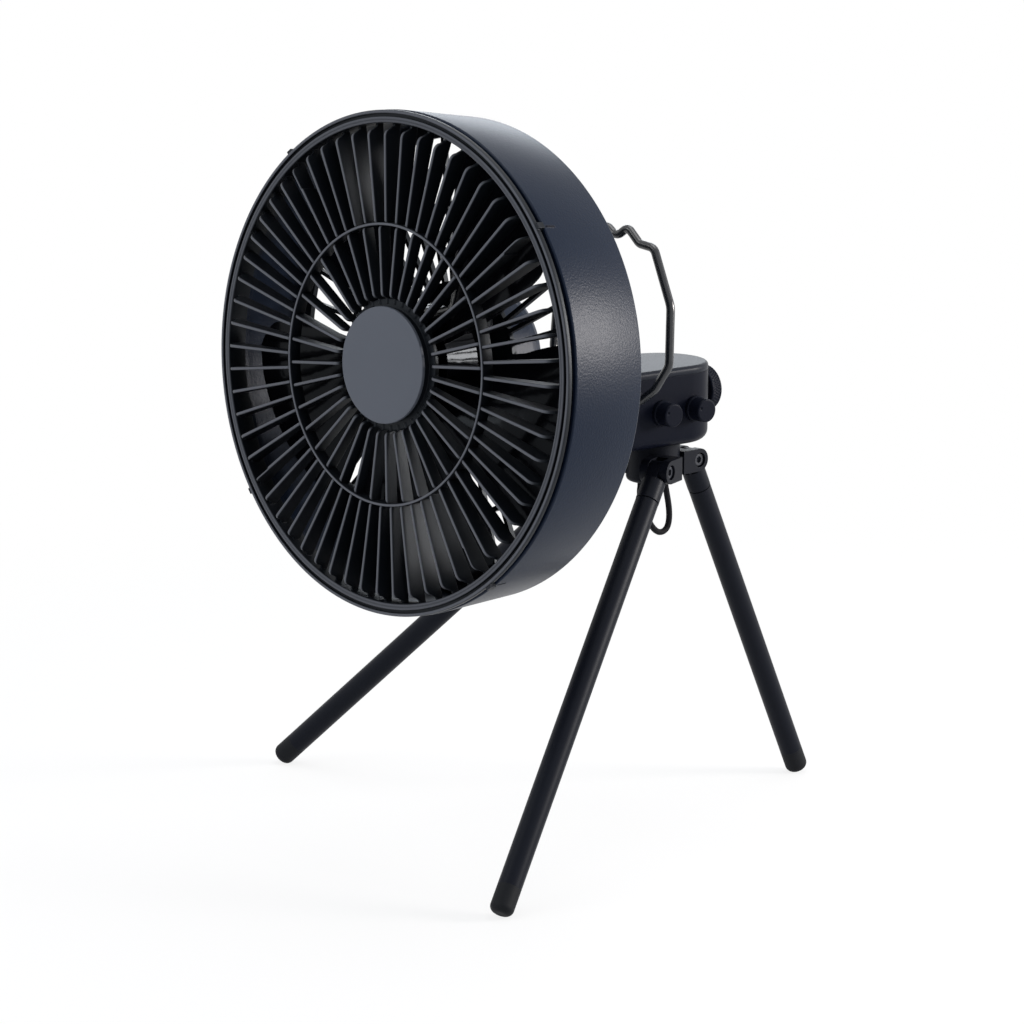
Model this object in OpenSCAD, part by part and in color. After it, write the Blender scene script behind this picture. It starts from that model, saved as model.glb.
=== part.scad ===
// Portable camping fan on a folding three-leg stand.
// Millimetres. The fan faces -Y, Z is up and the feet stand on Z = 0.
// The origin is the middle of the bottom of the whole object's box.

/* [Drum] */
// Outside diameter of the drum, measured at the grille ring
drum_front_d = 241; // [239:0.5:244]
// How much smaller the drum's radius is at its back edge
drum_taper = 3.9; // [2:0.1:6]
// Length from the front of the grille ring to the back edge
drum_depth = 52.6; // [51:0.2:58]
// Thickness of the drum wall
drum_wall = 2.4; // [2:0.1:2.8]
// Length of the four raised marks along the drum
mark_length = 7; // [4:0.5:12]
// Width of the raised marks
mark_width = 1.2; // [0.8:0.1:2]
// Angle of the first mark and lock tab
tab_angle = 38; // [30:1:45]

/* [Front grille] */
// Width of the ring seen from the front
ring_width = 6.1; // [5.7:0.1:6.8]
// Step in radius from the drum down to the ring's front flange
flange_inset = 0.6; // [0.4:0.1:1]
// Thickness of the front flange
flange_height = 2.6; // [2:0.1:3]
// Open gap between the front flange and the drum's edge
rim_gap = 2.4; // [1.5:0.1:3]
// Depth of the part of the ring inside the drum
spigot_depth = 6; // [4:0.5:8]
// Width of the groove in the face of the ring
groove_width = 1.5; // [1:0.1:2]
// Depth of the groove in the face of the ring
groove_depth = 1.6; // [0.8:0.1:2]
// Number of fins between the middle ring and the outer ring
outer_fins = 60; // [48:12:72]
// Number of fins between the cup and the middle ring
inner_fins = 36; // [24:4:40]
// Turn of the outer fins about the fan's axis
outer_phase = 1.7; // [0:0.1:6]
// Turn of the inner fins about the fan's axis
inner_phase = 5.4; // [0:0.1:10]
// Thickness of each fin
fin_width = 2; // [1.4:0.1:2.4]
// Depth of the fins behind the plane of the ring's front
fin_depth = 5; // [4:0.5:7]
// Height of the outer fins in front of the ring
fin_rise = 3.3; // [2.4:0.1:4]
// Height of the middle ring in front of the outer ring
mid_rise = 1.9; // [1.2:0.1:2.2]
// Height of the cup in front of the outer ring
cup_rise = 1.4; // [0.8:0.1:1.8]
// Diameter of the thin middle ring
mid_ring_d = 133.2; // [120:0.2:146]
// Width of the middle ring
mid_ring_width = 1.6; // [1.2:0.1:2.4]
// Outside diameter of the cup at the centre of the grille
cup_d = 64.4; // [62:0.2:70]
// Diameter of the plain badge on the cup
badge_d = 56.4; // [50:0.2:58]
// Height of the badge in front of the ring
badge_rise = 4.3; // [3:0.1:5]

/* [Back grille] */
// Number of spokes in the back grille
back_spokes = 40; // [32:4:48]
// Width of each spoke
spoke_width = 2; // [1.6:0.1:2.6]
// Thickness of the back grille
back_thick = 2.8; // [2.4:0.1:3.4]
// Diameter of the back grille's inner hoop
back_hoop_d = 150; // [130:1:170]
// Diameter of the plate that carries the motor
motor_plate_d = 76; // [74:1:84]

/* [Rotor and motor] */
// Number of blades
blades = 5; // [3:1:6]
// Gap between the blade tips and the inside of the grille ring
tip_gap = 5.8; // [5:0.2:12]
// Outside diameter of the rotor's hub
rotor_hub_d = 56; // [52:1:60]
// Depth of the rotor's hub
rotor_hub_depth = 20; // [18:1:22]
// Height of the blades along the axis
blade_height = 20; // [14:1:22]
// Angle that each blade covers at its root
blade_span = 50; // [36:1:56]
// Turn of the rotor at rest
rotor_turn = 53; // [0:1:71]
// Diameter of the motor's can
motor_d = 40; // [34:1:42]
// Diameter of the motor's shaft
shaft_d = 5; // [4:0.5:6]

/* [Neck and tilt] */
// Tilt of the head above level at rest
head_tilt = 3.64; // [0:0.01:6]
// Diameter of the cowl behind the motor
cowl_d = 72; // [70:1:76]
// Depth of the cowl
cowl_depth = 22; // [18:1:24]
// Distance from the cowl's outside in to its four screws
cowl_screw_inset = 7; // [6.5:0.1:8]
// Diameter of the cowl's four screw posts
cowl_post_d = 6.4; // [5:0.2:7]
// Diameter of the knuckle at the end of the neck
knuckle_d = 22; // [20:1:22]
// Width of the knuckle between the two ears
knuckle_width = 24; // [20:1:25]
// Diameter of the tilt pin
tilt_pin_d = 6; // [5:0.5:7]

/* [Housing] */
// Width of the housing across its round back
housing_width = 49; // [48:0.5:50]
// Height of the housing with its lid
housing_height = 40.8; // [40:0.2:44]
// Height of the housing's underside above the floor
housing_base_z = 200.6; // [200.6:0.1:201.6]
// Distance from the stand's axis to the housing's front
housing_front = 56; // [55:0.5:57]
// Distance from the stand's axis to the centre of the round back
housing_round_y = 5.2; // [4.4:0.2:6]
// Angle at which each side of the housing runs in towards the front
housing_taper = 7; // [6:0.5:7.5]
// Radius of the two front corners
corner_r = 6; // [5.8:0.1:6.2]
// Radius of the rounded bottom edge
base_round = 5.4; // [4:0.1:5.6]
// Thickness of the lid
lid_thick = 4; // [3.5:0.1:5]
// Wall thickness of the housing
housing_wall = 2.4; // [2:0.1:2.6]
// Radius of the rounded top edge
lid_round = 2.2; // [1:0.1:3]
// Diameter of each battery cell
cell_d = 14.2; // [13:0.1:14.5]
// Length of each battery cell
cell_length = 41; // [34:1:41]
// Distance from the housing's front to the cells
cell_inset = 6; // [5.5:0.5:7]
// Distance from the housing's front to the front screw
screw_inset = 9; // [8.5:0.5:10]
// Distance from the stand's axis to the back screw
back_screw_y = 19; // [16:0.5:20]
// Width of the charging socket
port_width = 9; // [8.4:0.1:9.4]
// Height of the charging socket
port_height = 3.3; // [3:0.1:3.6]

/* [Controls] */
// Diameter of the two side knobs
knob_d = 12.2; // [10:0.1:13]
// Distance that the side knobs stand out
knob_reach = 9.5; // [8:0.5:11]
// Diameter of the collar at the foot of each knob
knob_collar_d = 13.4; // [12:0.1:14]
// Height of the side knobs above the housing's underside
knob_rise = 18.8; // [17:0.2:20]
// Diameter of the rear dial
dial_d = 24.6; // [22:0.2:26]
// Thickness of the rear dial
dial_thick = 7.9; // [6:0.1:8.5]
// Height of the rear dial above the housing's underside
dial_rise = 22.4; // [20:0.2:24]
// Diameter of the rear dial's seat
dial_seat_d = 20; // [18:0.5:21]
// Distance that the rear dial's seat stands out
dial_boss = 2; // [1.6:0.1:2.4]
// Number of grip teeth round the rear dial
dial_teeth = 48; // [36:4:60]
// Diameter of the shafts of the knobs and the dial
control_shaft_d = 6; // [5:0.5:6]

/* [Bail] */
// Diameter of the bail's wire
bail_d = 4.4; // [3.6:0.1:4.6]
// Height of the bail's pivots above the housing's underside
bail_rise = 26.9; // [25:0.1:28]
// Diameter of the bosses that the bail swings in
bail_boss_d = 9.2; // [8:0.2:10]
// Distance from the stand's axis forward to the bail's pivots
bail_forward = 34; // [32:0.5:35]
// Distance from the middle to the bail's straight sides
bail_half_width = 39.5; // [38:0.5:42]
// Angle at which the bail rests, leaning back
bail_lean = 3.8; // [0:0.1:6]

/* [Stand] */
// Diameter of the stand's collar
collar_d = 28; // [26:0.5:30]
// Distance of the leg pins below the housing's underside
pin_drop = 12; // [11.5:0.1:14]
// Thickness of the hub's cheeks beside each leg
cheek_thick = 4.5; // [4.2:0.1:5]
// Width of the slot between two cheeks
slot_width = 6.6; // [6:0.1:7]
// Radius of the cheeks round the pins
cheek_r = 6; // [5.6:0.1:6.2]
// Diameter of the leg pins
leg_pin_d = 4; // [3:0.5:4]
// Diameter of the leg pins' heads
bolt_head_d = 6.2; // [5.8:0.1:6.6]
// Free ring between a pin's head and its recess
bolt_head_gap = 0.7; // [0.4:0.1:0.9]
// Height of the stand's collar below the leg pins
collar_drop = 9.4; // [8:0.2:10]
// Radius of the collar's rounded bottom edge
collar_round = 2.4; // [1:0.1:2.6]
// Diameter of the boss round the stud's socket
socket_boss_d = 15; // [13:0.5:16]
// Diameter of the threaded stud that holds the fan
stud_d = 6.35; // [6:0.05:6.5]

/* [Legs] */
// Diameter of the leg tubes
leg_d = 12; // [11:0.1:12.4]
// How far out the front right leg's foot stands from its pin
leg_a_reach = 163.5; // [150:0.5:180]
// How far out the rear leg's foot stands from its pin
leg_b_reach = 88.2; // [78:0.2:110]
// How far out the front left leg's foot stands from its pin
leg_c_reach = 193; // [175:0.5:210]
// Radius of the rounded edge of each foot
foot_round = 3.5; // [2:0.5:4]
// Length of each foot cap
foot_length = 14; // [12:1:18]
// Length of the sleeve under each hinge
sleeve_length = 11.5; // [9:0.5:14]
// Length of the plug that each sleeve puts into its tube
sleeve_plug = 14; // [10:0.5:18]
// Length of the plug that each foot cap puts into its tube
foot_plug = 10; // [8:0.5:14]
// Wall thickness of the leg tubes
tube_wall = 1.2; // [1:0.1:1.5]

/* [Lanyard] */
// Diameter of the hanging cord loop
cord_d = 2.8; // [2.4:0.1:3.2]

/* [Clearances] */
// Radial clearance of the pins and shafts that turn
run_fit = 0.05; // [0.02:0.01:0.08]
// Free gap between pieces that move past each other
free_gap = 0.3; // [0.3:0.05:0.4]

/* [Hidden] */
$fn = 96;

shell_colour = [0.22, 0.24, 0.29];
grille_colour = [0.14, 0.14, 0.16];
badge_colour = [0.34, 0.36, 0.40];
black = [0.07, 0.07, 0.08];
metal_colour = [0.62, 0.63, 0.65];
cell_colour = [0.20, 0.42, 0.62];
board_colour = [0.10, 0.32, 0.18];

// Head: the fan's axis is local z, with z = 0 at the front of the grille ring.
housing_front_y = -housing_front;
pivot_y = housing_front_y - 12;
pivot_z = housing_base_z + 28.4;
pivot_drop = 25.4;
pivot_back = 122.2;
knuckle_z = -pivot_back;
drum_front_r = drum_front_d / 2;
drum_rear_r = drum_front_r - drum_taper;
ring_r = drum_front_r - flange_inset;
ring_inner_r = ring_r - ring_width;
rotor_r = ring_inner_r - tip_gap;
drum_edge_z = -flange_height - rim_gap;
function drum_r(z) = drum_front_r + (drum_rear_r - drum_front_r) * (-z) / drum_depth;
spigot_r = drum_r(drum_edge_z) - drum_wall;
ledge_z = drum_edge_z - spigot_depth;
back_z = -drum_depth + 2.4;
back_r = drum_r(back_z) - drum_wall - free_gap;
plate_top_z = back_z + back_thick;
hub_front_z = -14;
hub_back_z = hub_front_z - rotor_hub_depth;
motor_front_z = hub_back_z + 4;
shaft_front_z = -10.5;
cowl_back_z = back_z - cowl_depth;
cowl_screw_r = cowl_d / 2 - cowl_screw_inset;

// Housing: a round back and two sides that run in towards the front, measured from the
// stand's axis.
housing_r = housing_width / 2;
housing_top_z = housing_base_z + housing_height;
corner_y = housing_front_y + corner_r;
// Distance from the middle plane, at y, of a line r square out from the round back's centre.
function side_x(r, y) = (r + sin(housing_taper) * (y - housing_round_y)) / cos(housing_taper);
corner_x = side_x(housing_r - corner_r, corner_y);
lid_z = housing_top_z - lid_thick;
floor_z = housing_base_z + housing_wall;
knob_z = housing_base_z + knob_rise;
speed_y = -19.8;
light_y = 2.2;
dial_z = housing_base_z + dial_rise;
dial_seat_y = housing_round_y + housing_r + dial_boss;
bail_y = -bail_forward;
bail_pivot_z = housing_base_z + bail_rise;
boss_reach = 0.9;
boss_x = side_x(housing_r, bail_y) + boss_reach;
ear_x = 17.2;
port_y = -5;
port_z = housing_base_z + 21.4;
socket_r = stud_d / 2 + run_fit;

// Stand: pin positions and the legs' plan directions from -Y towards +X.
pin_a = [18.4, -16.4];
pin_b = [6.2, 21.1];
pin_c = [-23.2, -6.3];
dir_a = 16.3;
dir_b = 179.7;
dir_c = -69;
pin_z = housing_base_z - pin_drop;
hub_base_z = pin_z - collar_drop;
pad_thick = 0.7;
hub_top_z = housing_base_z - free_gap - pad_thick;
leg_r = leg_d / 2;
tongue_thick = slot_width - 2 * free_gap;
tongue_r = cheek_r - 0.5;
block_width = slot_width + 2 * cheek_thick;
block_reach = 12.5;
bolt_recess = 3.2;
bolt_head_height = 2.2;
sleeve_start = cheek_r + 0.5;
sleeve_end = sleeve_start + sleeve_length;
tube_start = sleeve_end + 0.6;
plug_r = leg_r - tube_wall - run_fit;

// Length of a leg, and its splay from the vertical, when the centre of its foot's rounded
// edge stands d out from the pin.
edge_in = leg_r - foot_round;
edge_drop = pin_z - foot_round;
function leg_length(d) = foot_round + sqrt(d * d + edge_drop * edge_drop - edge_in * edge_in);
function splay(d) = atan2(d, edge_drop) + atan2(edge_in, leg_length(d) - foot_round);
function plan(a) = [sin(a), -cos(a)];
// Reach of a leg along a plan direction u, from its pin to the foot's edge.
function foot_reach(d, a, u) =
  let (c = sin(splay(d)) * (plan(a) * u))
  (leg_length(d) - foot_round) * c + edge_in * sqrt(1 - c * c) + foot_round;

front_y = pivot_y - pivot_back * cos(head_tilt) + pivot_drop * sin(head_tilt);
fin_edge_r = ring_inner_r - 5.2;
x_max = drum_front_r - 0.4;
x_min = pin_c[0] - foot_reach(leg_c_reach, dir_c, [-1, 0]);
y_min = front_y - (fin_rise - 0.05) * cos(head_tilt) - fin_edge_r * sin(head_tilt);
y_max = pin_b[1] + foot_reach(leg_b_reach, dir_b, [0, 1]);
origin_x = (x_max + x_min) / 2;
origin_y = (y_max + y_min) / 2;

module place() translate([-origin_x, -origin_y, 0]) children();

module head() place()
  translate([0, pivot_y, pivot_z]) rotate([90 - head_tilt, 0, 0])
    translate([0, pivot_drop, pivot_back]) children();

module ring(r_out, r_in, z, h) translate([0, 0, z]) difference() {
  cylinder(r = r_out, h = h);
  translate([0, 0, -1]) cylinder(r = r_in, h = h + 2);
}

// A flat fin standing on edge: side outline in (radius, z), thickness t.
module fin(outline, t) rotate([90, 0, 0])
  linear_extrude(t, center = true) polygon(outline);

// A rod along x, centred on the origin.
module x_rod(r, length) rotate([0, 90, 0]) cylinder(r = r, h = length, center = true);

// ---- Head ----

module front_grille() color(grille_colour) head() {
  r_in = ring_inner_r;
  r_out = ring_r;
  r_mid = mid_ring_d / 2;
  r_cup = cup_d / 2;
  groove_r = r_in + 3;
  // Outer ring: face with one groove, flange, and the spigot inside the drum.
  rotate_extrude($fn = 180) polygon([
    [r_in, -0.6], [r_in + 0.6, 0], [groove_r, 0], [groove_r, -groove_depth],
    [groove_r + groove_width, -groove_depth], [groove_r + groove_width, 0],
    [r_out - 0.5, 0], [r_out, -0.5], [r_out, -flange_height],
    [spigot_r - run_fit, -flange_height], [spigot_r - run_fit, ledge_z],
    [r_in, ledge_z]]);
  for (i = [0:outer_fins - 1]) rotate([0, 0, outer_phase + i * 360 / outer_fins])
    fin([[r_mid + 0.2, mid_rise - 0.15], [fin_edge_r, fin_rise], [fin_edge_r + 1.7, fin_rise - 0.5],
         [fin_edge_r + 2.8, fin_rise - 1.6], [fin_edge_r + 3.3, fin_rise - 3.2],
         [fin_edge_r + 3.5, -2.6], [r_in + 1, -3.2], [r_in + 1, -6.4],
         [r_mid + 0.2, 0.2 - fin_depth]], fin_width);
  for (i = [0:inner_fins - 1]) rotate([0, 0, inner_phase + i * 360 / inner_fins])
    fin([[r_cup - 1, cup_rise - 0.15], [r_mid - 0.2, mid_rise - 0.15],
         [r_mid - 0.2, 0.2 - fin_depth], [r_cup - 1, 0.2 - fin_depth]], fin_width);
  ring(r_mid + mid_ring_width / 2, r_mid - mid_ring_width / 2, -fin_depth,
       fin_depth + mid_rise);
  // Cup with a seat for the badge.
  difference() {
    translate([0, 0, -fin_depth]) cylinder(r = r_cup, h = fin_depth + cup_rise);
    translate([0, 0, cup_rise - 0.8]) cylinder(r = badge_d / 2 + 0.2, h = 5);
    translate([0, 0, -fin_depth - 1]) cylinder(r = r_cup - 2.4, h = fin_depth - 1);
  }
  // Lock tabs on the edge of the flange.
  for (a = [0:90:270]) rotate([0, 0, tab_angle + a])
    translate([r_out - 1, -1.5, -flange_height - rim_gap + 0.4])
      cube([2.4, 3, rim_gap + 1.6]);
}

module grille_badge() color(badge_colour) head()
  translate([0, 0, cup_rise - 0.8]) {
    cylinder(r = badge_d / 2, h = badge_rise - cup_rise + 0.2);
    cylinder(r = badge_d / 2 - 0.6, h = badge_rise - cup_rise + 0.8);
  }

module drum_shell() color(shell_colour) head() {
  r_edge = drum_r(drum_edge_z);
  r_wall = drum_r(ledge_z - 3) - drum_wall;
  r_back = drum_r(back_z) - drum_wall;
  rotate_extrude($fn = 180) polygon([
    [spigot_r, drum_edge_z], [r_edge - 0.9, drum_edge_z], [r_edge - 0.3, drum_edge_z - 0.3],
    [r_edge, drum_edge_z - 0.9], [drum_rear_r + 0.1, -drum_depth + 1.4],
    [drum_rear_r - 0.4, -drum_depth + 0.5], [drum_rear_r - 1.4, -drum_depth],
    [r_back - 4, -drum_depth], [r_back - 4, back_z], [r_back, back_z],
    [r_wall, ledge_z - 3], [spigot_r - 2.6, ledge_z - 3], [spigot_r - 2.6, ledge_z],
    [spigot_r, ledge_z]]);
  // Raised marks beside the lock tabs.
  for (a = [0:90:270]) rotate([0, 0, tab_angle + a])
    translate([r_edge - 1.6, -mark_width / 2, drum_edge_z - 1.5 - mark_length])
      cube([1.9, mark_width, mark_length]);
}

module rear_grille() color(grille_colour) head() difference() {
  r_plate = motor_plate_d / 2;
  r_hoop = back_hoop_d / 2;
  union() {
    ring(back_r, back_r - 7, back_z, back_thick);
    ring(r_hoop + 1.2, r_hoop - 1.2, back_z, back_thick);
    translate([0, 0, back_z]) cylinder(r = r_plate, h = back_thick);
    for (i = [0:back_spokes - 1]) rotate([0, 0, i * 360 / back_spokes])
      translate([r_plate - 1, -spoke_width / 2, back_z])
        cube([back_r - r_plate - 3, spoke_width, back_thick]);
  }
  translate([0, 0, back_z - 1]) cylinder(r = shaft_d / 2 + 1.5, h = back_thick + 2);
  for (a = [45:90:315]) rotate([0, 0, a]) translate([cowl_screw_r, 0, back_z - 1])
    cylinder(r = 1.6, h = back_thick + 2);
}

// Four screws that hold the cowl on the back grille, heads inside the drum.
module rear_screws() color(metal_colour) head()
  for (a = [45:90:315]) rotate([0, 0, a]) translate([cowl_screw_r, 0, 0]) {
    translate([0, 0, plate_top_z]) cylinder(r = 2.8, h = 1.8, $fn = 32);
    translate([0, 0, back_z - 5]) cylinder(r = 1.55, h = back_thick + 5, $fn = 32);
  }

module rotor_hub() color(black) head() difference() {
  union() {
    difference() {
      translate([0, 0, hub_back_z]) cylinder(r = rotor_hub_d / 2, h = rotor_hub_depth);
      translate([0, 0, hub_back_z - 1])
        cylinder(r = rotor_hub_d / 2 - 2.2, h = rotor_hub_depth - 1.4);
    }
    translate([0, 0, hub_front_z - 12]) cylinder(r = shaft_d / 2 + 3, h = 12);
  }
  translate([0, 0, hub_back_z - 1]) cylinder(r = shaft_d / 2 + run_fit, h = 40);
}

// Blade surface: u runs from root to tip and v from the front edge to the back edge.
function blade_r(u) = rotor_hub_d / 2 + 0.05 + (rotor_r - rotor_hub_d / 2 - 0.05) * u;
function blade_turn(u, v) =
  let (edge = u > 0.85 ? (u - 0.85) / 0.15 : 0,
       half = blade_span / 2 * (1 + 0.12 * sin(180 * u)) * (1 - 0.24 * edge * edge))
  rotor_turn + 7 * sin(90 * u) - 3 + half * (2 * v - 1);
function blade_z(u, v) =
  hub_front_z - rotor_hub_depth / 2 + blade_height * (0.5 - v) * (1 - 0.25 * u)
  + 2.5 * sin(180 * v);
function blade_point(u, v, side) =
  let (r = blade_r(u), a = blade_turn(u, v))
  [r * cos(a), r * sin(a), blade_z(u, v) + side * 0.9];

// One blade as a closed sheet of rings, each ring a chord with two faces.
module blade(rows, cols) {
  per = 2 * (cols + 1);
  pts = [for (i = [0:rows]) each concat(
    [for (j = [0:cols]) blade_point(i / rows, j / cols, 1)],
    [for (j = [cols:-1:0]) blade_point(i / rows, j / cols, -1)])];
  sides = [for (i = [0:rows - 1], j = [0:per - 1], half = [0, 1])
    let (k = (j + 1) % per, a = i * per, b = a + per)
    half == 0 ? [a + j, a + k, b + k] : [a + j, b + k, b + j]];
  root = [for (j = [0:cols - 1]) [j, per - 1 - j, per - 2 - j, j + 1]];
  tip = [for (j = [0:cols - 1])
    [rows * per + j, rows * per + j + 1, rows * per + per - 2 - j, rows * per + per - 1 - j]];
  polyhedron(points = pts, faces = concat(sides, root, tip), convexity = 6);
}

module rotor_blades() color(black) head()
  for (i = [0:blades - 1]) rotate([0, 0, i * 360 / blades]) blade(8, 6);

module rotor_nut() color(metal_colour) head() difference() {
  translate([0, 0, hub_front_z]) cylinder(r = 5, h = 3, $fn = 6);
  translate([0, 0, hub_front_z - 1]) cylinder(r = shaft_d / 2 + run_fit, h = 6, $fn = 48);
}

module motor_shaft() color(metal_colour) head()
  translate([0, 0, back_z - 2]) cylinder(r = shaft_d / 2, h = shaft_front_z - back_z + 2);

module motor_can() color(metal_colour) head() difference() {
  translate([0, 0, plate_top_z])
    cylinder(r = motor_d / 2, h = motor_front_z - plate_top_z);
  translate([0, 0, plate_top_z - 1]) cylinder(r = shaft_d / 2 + run_fit, h = 40);
}

// Cup behind the motor with four screw posts inside.
module motor_cowl() color(shell_colour) head() difference() {
  union() {
    rotate_extrude() polygon([
      [0, cowl_back_z], [cowl_d / 2 - 6, cowl_back_z], [cowl_d / 2 - 2, cowl_back_z + 1.4],
      [cowl_d / 2 - 0.5, cowl_back_z + 4.5], [cowl_d / 2, cowl_back_z + 8],
      [cowl_d / 2, back_z], [cowl_d / 2 - 2.4, back_z], [cowl_d / 2 - 2.4, cowl_back_z + 8],
      [cowl_d / 2 - 7, cowl_back_z + 2.6], [0, cowl_back_z + 2.6]]);
    for (a = [45:90:315]) rotate([0, 0, a]) translate([cowl_screw_r, 0, cowl_back_z + 1.5])
      cylinder(r = cowl_post_d / 2, h = cowl_depth - 1.6, $fn = 48);
  }
  for (a = [45:90:315]) rotate([0, 0, a]) translate([cowl_screw_r, 0, back_z - 8])
    cylinder(r = 1.6, h = 10, $fn = 32);
  // Cooling slots in the lower half of the back wall.
  for (i = [-2:2]) translate([i * 7 - 1.25, 15 - abs(i) * 2, cowl_back_z - 1])
    cube([2.5, 12, 5]);
}

// Neck: a flat block from the cowl down to the knuckle.
module neck() color(shell_colour) head() difference() {
  translate([-knuckle_width / 2, 0, 0]) rotate([90, 0, 90])
    linear_extrude(knuckle_width) {
      hull() {
        translate([-pivot_drop, knuckle_z]) circle(r = 8, $fn = 32);
        translate([-22, cowl_back_z - 1]) square([20, 1]);
      }
      translate([-pivot_drop, knuckle_z]) circle(r = knuckle_d / 2);
    }
  translate([0, -pivot_drop, knuckle_z]) x_rod(tilt_pin_d / 2 + run_fit, 40);
}

// ---- Housing ----

// Pin through both ears, with a slotted head on each side.
module tilt_pin() color(metal_colour) place() translate([0, pivot_y, pivot_z])
  difference() {
    x_rod(tilt_pin_d / 2, 2 * ear_x);
    for (s = [-1, 1]) translate([s * ear_x, 0, 0]) cube([2.4, 10, 1], center = true);
  }

// Frame of the right side (s = 1) or the left side (s = -1): x is square to that side and
// y runs along it, from the centre of the round back.
module on_side(s) translate([0, housing_round_y, 0]) rotate([0, 0, -s * housing_taper])
  children();

// Plan outline of the housing, drawn smaller by g all round.
module housing_outline(g) hull() {
  translate([0, housing_round_y]) circle(r = housing_r - g, $fn = 64);
  for (s = [-1, 1]) translate([s * corner_x, corner_y]) circle(r = corner_r - g, $fn = 32);
}

// A disc of radius r and height h with its upper edge rounded.
module round_disc(r, h, edge) rotate_extrude($fn = 64) polygon(concat(
  [[0, 0], [r, 0]],
  [for (a = [0:15:90]) [r - edge + edge * cos(a), h - edge + edge * sin(a)]],
  [[0, h]]));

// Housing shape of height h, rounded along its upper edge.
module round_housing(h, edge) hull() {
  translate([0, housing_round_y, 0]) round_disc(housing_r, h, edge);
  for (s = [-1, 1]) translate([s * corner_x, corner_y, 0]) round_disc(corner_r, h, edge);
}

// Ear beside the knuckle, ending under the lid inside the front wall.
module ear() rotate([90, 0, 90])
  linear_extrude(ear_x - knuckle_width / 2 - free_gap) difference() {
    union() {
      translate([pivot_y, pivot_z]) circle(r = knuckle_d / 2);
      translate([pivot_y, pivot_z - knuckle_d / 2])
        square([housing_front_y + 4.5 - pivot_y, knuckle_d]);
    }
    translate([housing_front_y, lid_z - 0.05]) square([10, 20]);
  }

module housing_body() color(black) place() difference() {
  union() {
    difference() {
      translate([0, 0, lid_z]) mirror([0, 0, 1]) round_housing(lid_z - housing_base_z, base_round);
      translate([0, 0, floor_z]) linear_extrude(housing_height) housing_outline(housing_wall);
    }
    // Stand socket, dial boss, and bail bosses.
    translate([0, 0, housing_base_z + 0.5]) cylinder(r = socket_boss_d / 2, h = 10.5);
    translate([0, dial_seat_y, dial_z]) rotate([90, 0, 0])
      cylinder(r = dial_seat_d / 2, h = dial_boss + 6);
    for (s = [-1, 1]) {
      translate([s * (boss_x - 2.2), bail_y, bail_pivot_z]) x_rod(bail_boss_d / 2, 4.4);
      translate([s > 0 ? knuckle_width / 2 + free_gap : -ear_x, 0, 0]) ear();
    }
    // Cradle for the two cells.
    difference() {
      translate([0, 0, floor_z - 0.2]) linear_extrude(7) intersection() {
        housing_outline(housing_wall - 0.2);
        translate([-housing_r, -46]) square([housing_width, 26]);
      }
      for (s = [-1, 1]) translate([s * (cell_d / 2 + 0.3), -60, floor_z + cell_d / 2 + 0.4])
        rotate([-90, 0, 0]) cylinder(r = cell_d / 2 + 0.1, h = 60);
    }
  }
  translate([0, 0, housing_base_z - 1]) cylinder(r = socket_r, h = 10);
  translate([0, pivot_y, pivot_z]) x_rod(tilt_pin_d / 2 + 0.02, 60);
  for (s = [-1, 1]) translate([s * boss_x, bail_y, bail_pivot_z])
    x_rod(bail_d / 2 + run_fit, 12);
  for (y = [speed_y, light_y]) on_side(1) translate([housing_r, y, knob_z])
    x_rod(control_shaft_d / 2 + run_fit, 12);
  translate([0, dial_seat_y, dial_z]) rotate([90, 0, 0])
    cylinder(r = control_shaft_d / 2 + run_fit, h = 30, center = true);
  on_side(-1) translate([-housing_r, port_y, port_z]) port_shape(12, 0.1);
  for (y = [housing_front_y + screw_inset, back_screw_y])
    translate([0, y, housing_base_z - 1]) cylinder(r = 1.6, h = 6, $fn = 32);
}

// Rounded slot shape of the charging socket, through length l along x.
module port_shape(l, g) rotate([90, 0, 90]) linear_extrude(l, center = true)
  for (s = [-1, 1]) {
    translate([s * (port_width - port_height) / 2, 0]) circle(r = port_height / 2 + g, $fn = 32);
    square([port_width - port_height, port_height + 2 * g], center = true);
  }

module housing_lid() color(black) place()
  translate([0, 0, lid_z]) round_housing(lid_thick, lid_round);

// Two screws that close the housing from below.
module housing_screws() color(metal_colour) place()
  for (y = [housing_front_y + screw_inset, back_screw_y])
    translate([0, y, housing_base_z - 1.4]) {
      cylinder(r = 2.7, h = 1.4, $fn = 32);
      cylinder(r = 1.5, h = 1.4 + housing_wall, $fn = 32);
    }

module battery_cells() color(cell_colour) place() for (s = [-1, 1])
  translate([s * (cell_d / 2 + 0.3), housing_front_y + cell_inset, floor_z + cell_d / 2 + 0.4])
    rotate([-90, 0, 0]) cylinder(r = cell_d / 2, h = cell_length);

// Board behind the right side, with the holes for the two knobs' shafts.
module control_board() color(board_colour) place() on_side(1) difference() {
  translate([housing_r - housing_wall - 3.8, -25, floor_z + 9]) cube([2, 32, 12]);
  for (y = [speed_y, light_y]) translate([housing_r, y, knob_z])
    x_rod(control_shaft_d / 2 + run_fit, 20);
}

module charge_port() color(metal_colour) place() on_side(-1)
  translate([-housing_r, port_y, port_z]) difference() {
    translate([housing_wall + 1.6, 0, 0]) port_shape(8, 0);
    translate([0.5, 0, 0]) cube([6, port_width - 2.4, port_height - 1.4], center = true);
  }

// ---- Controls ----

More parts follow.
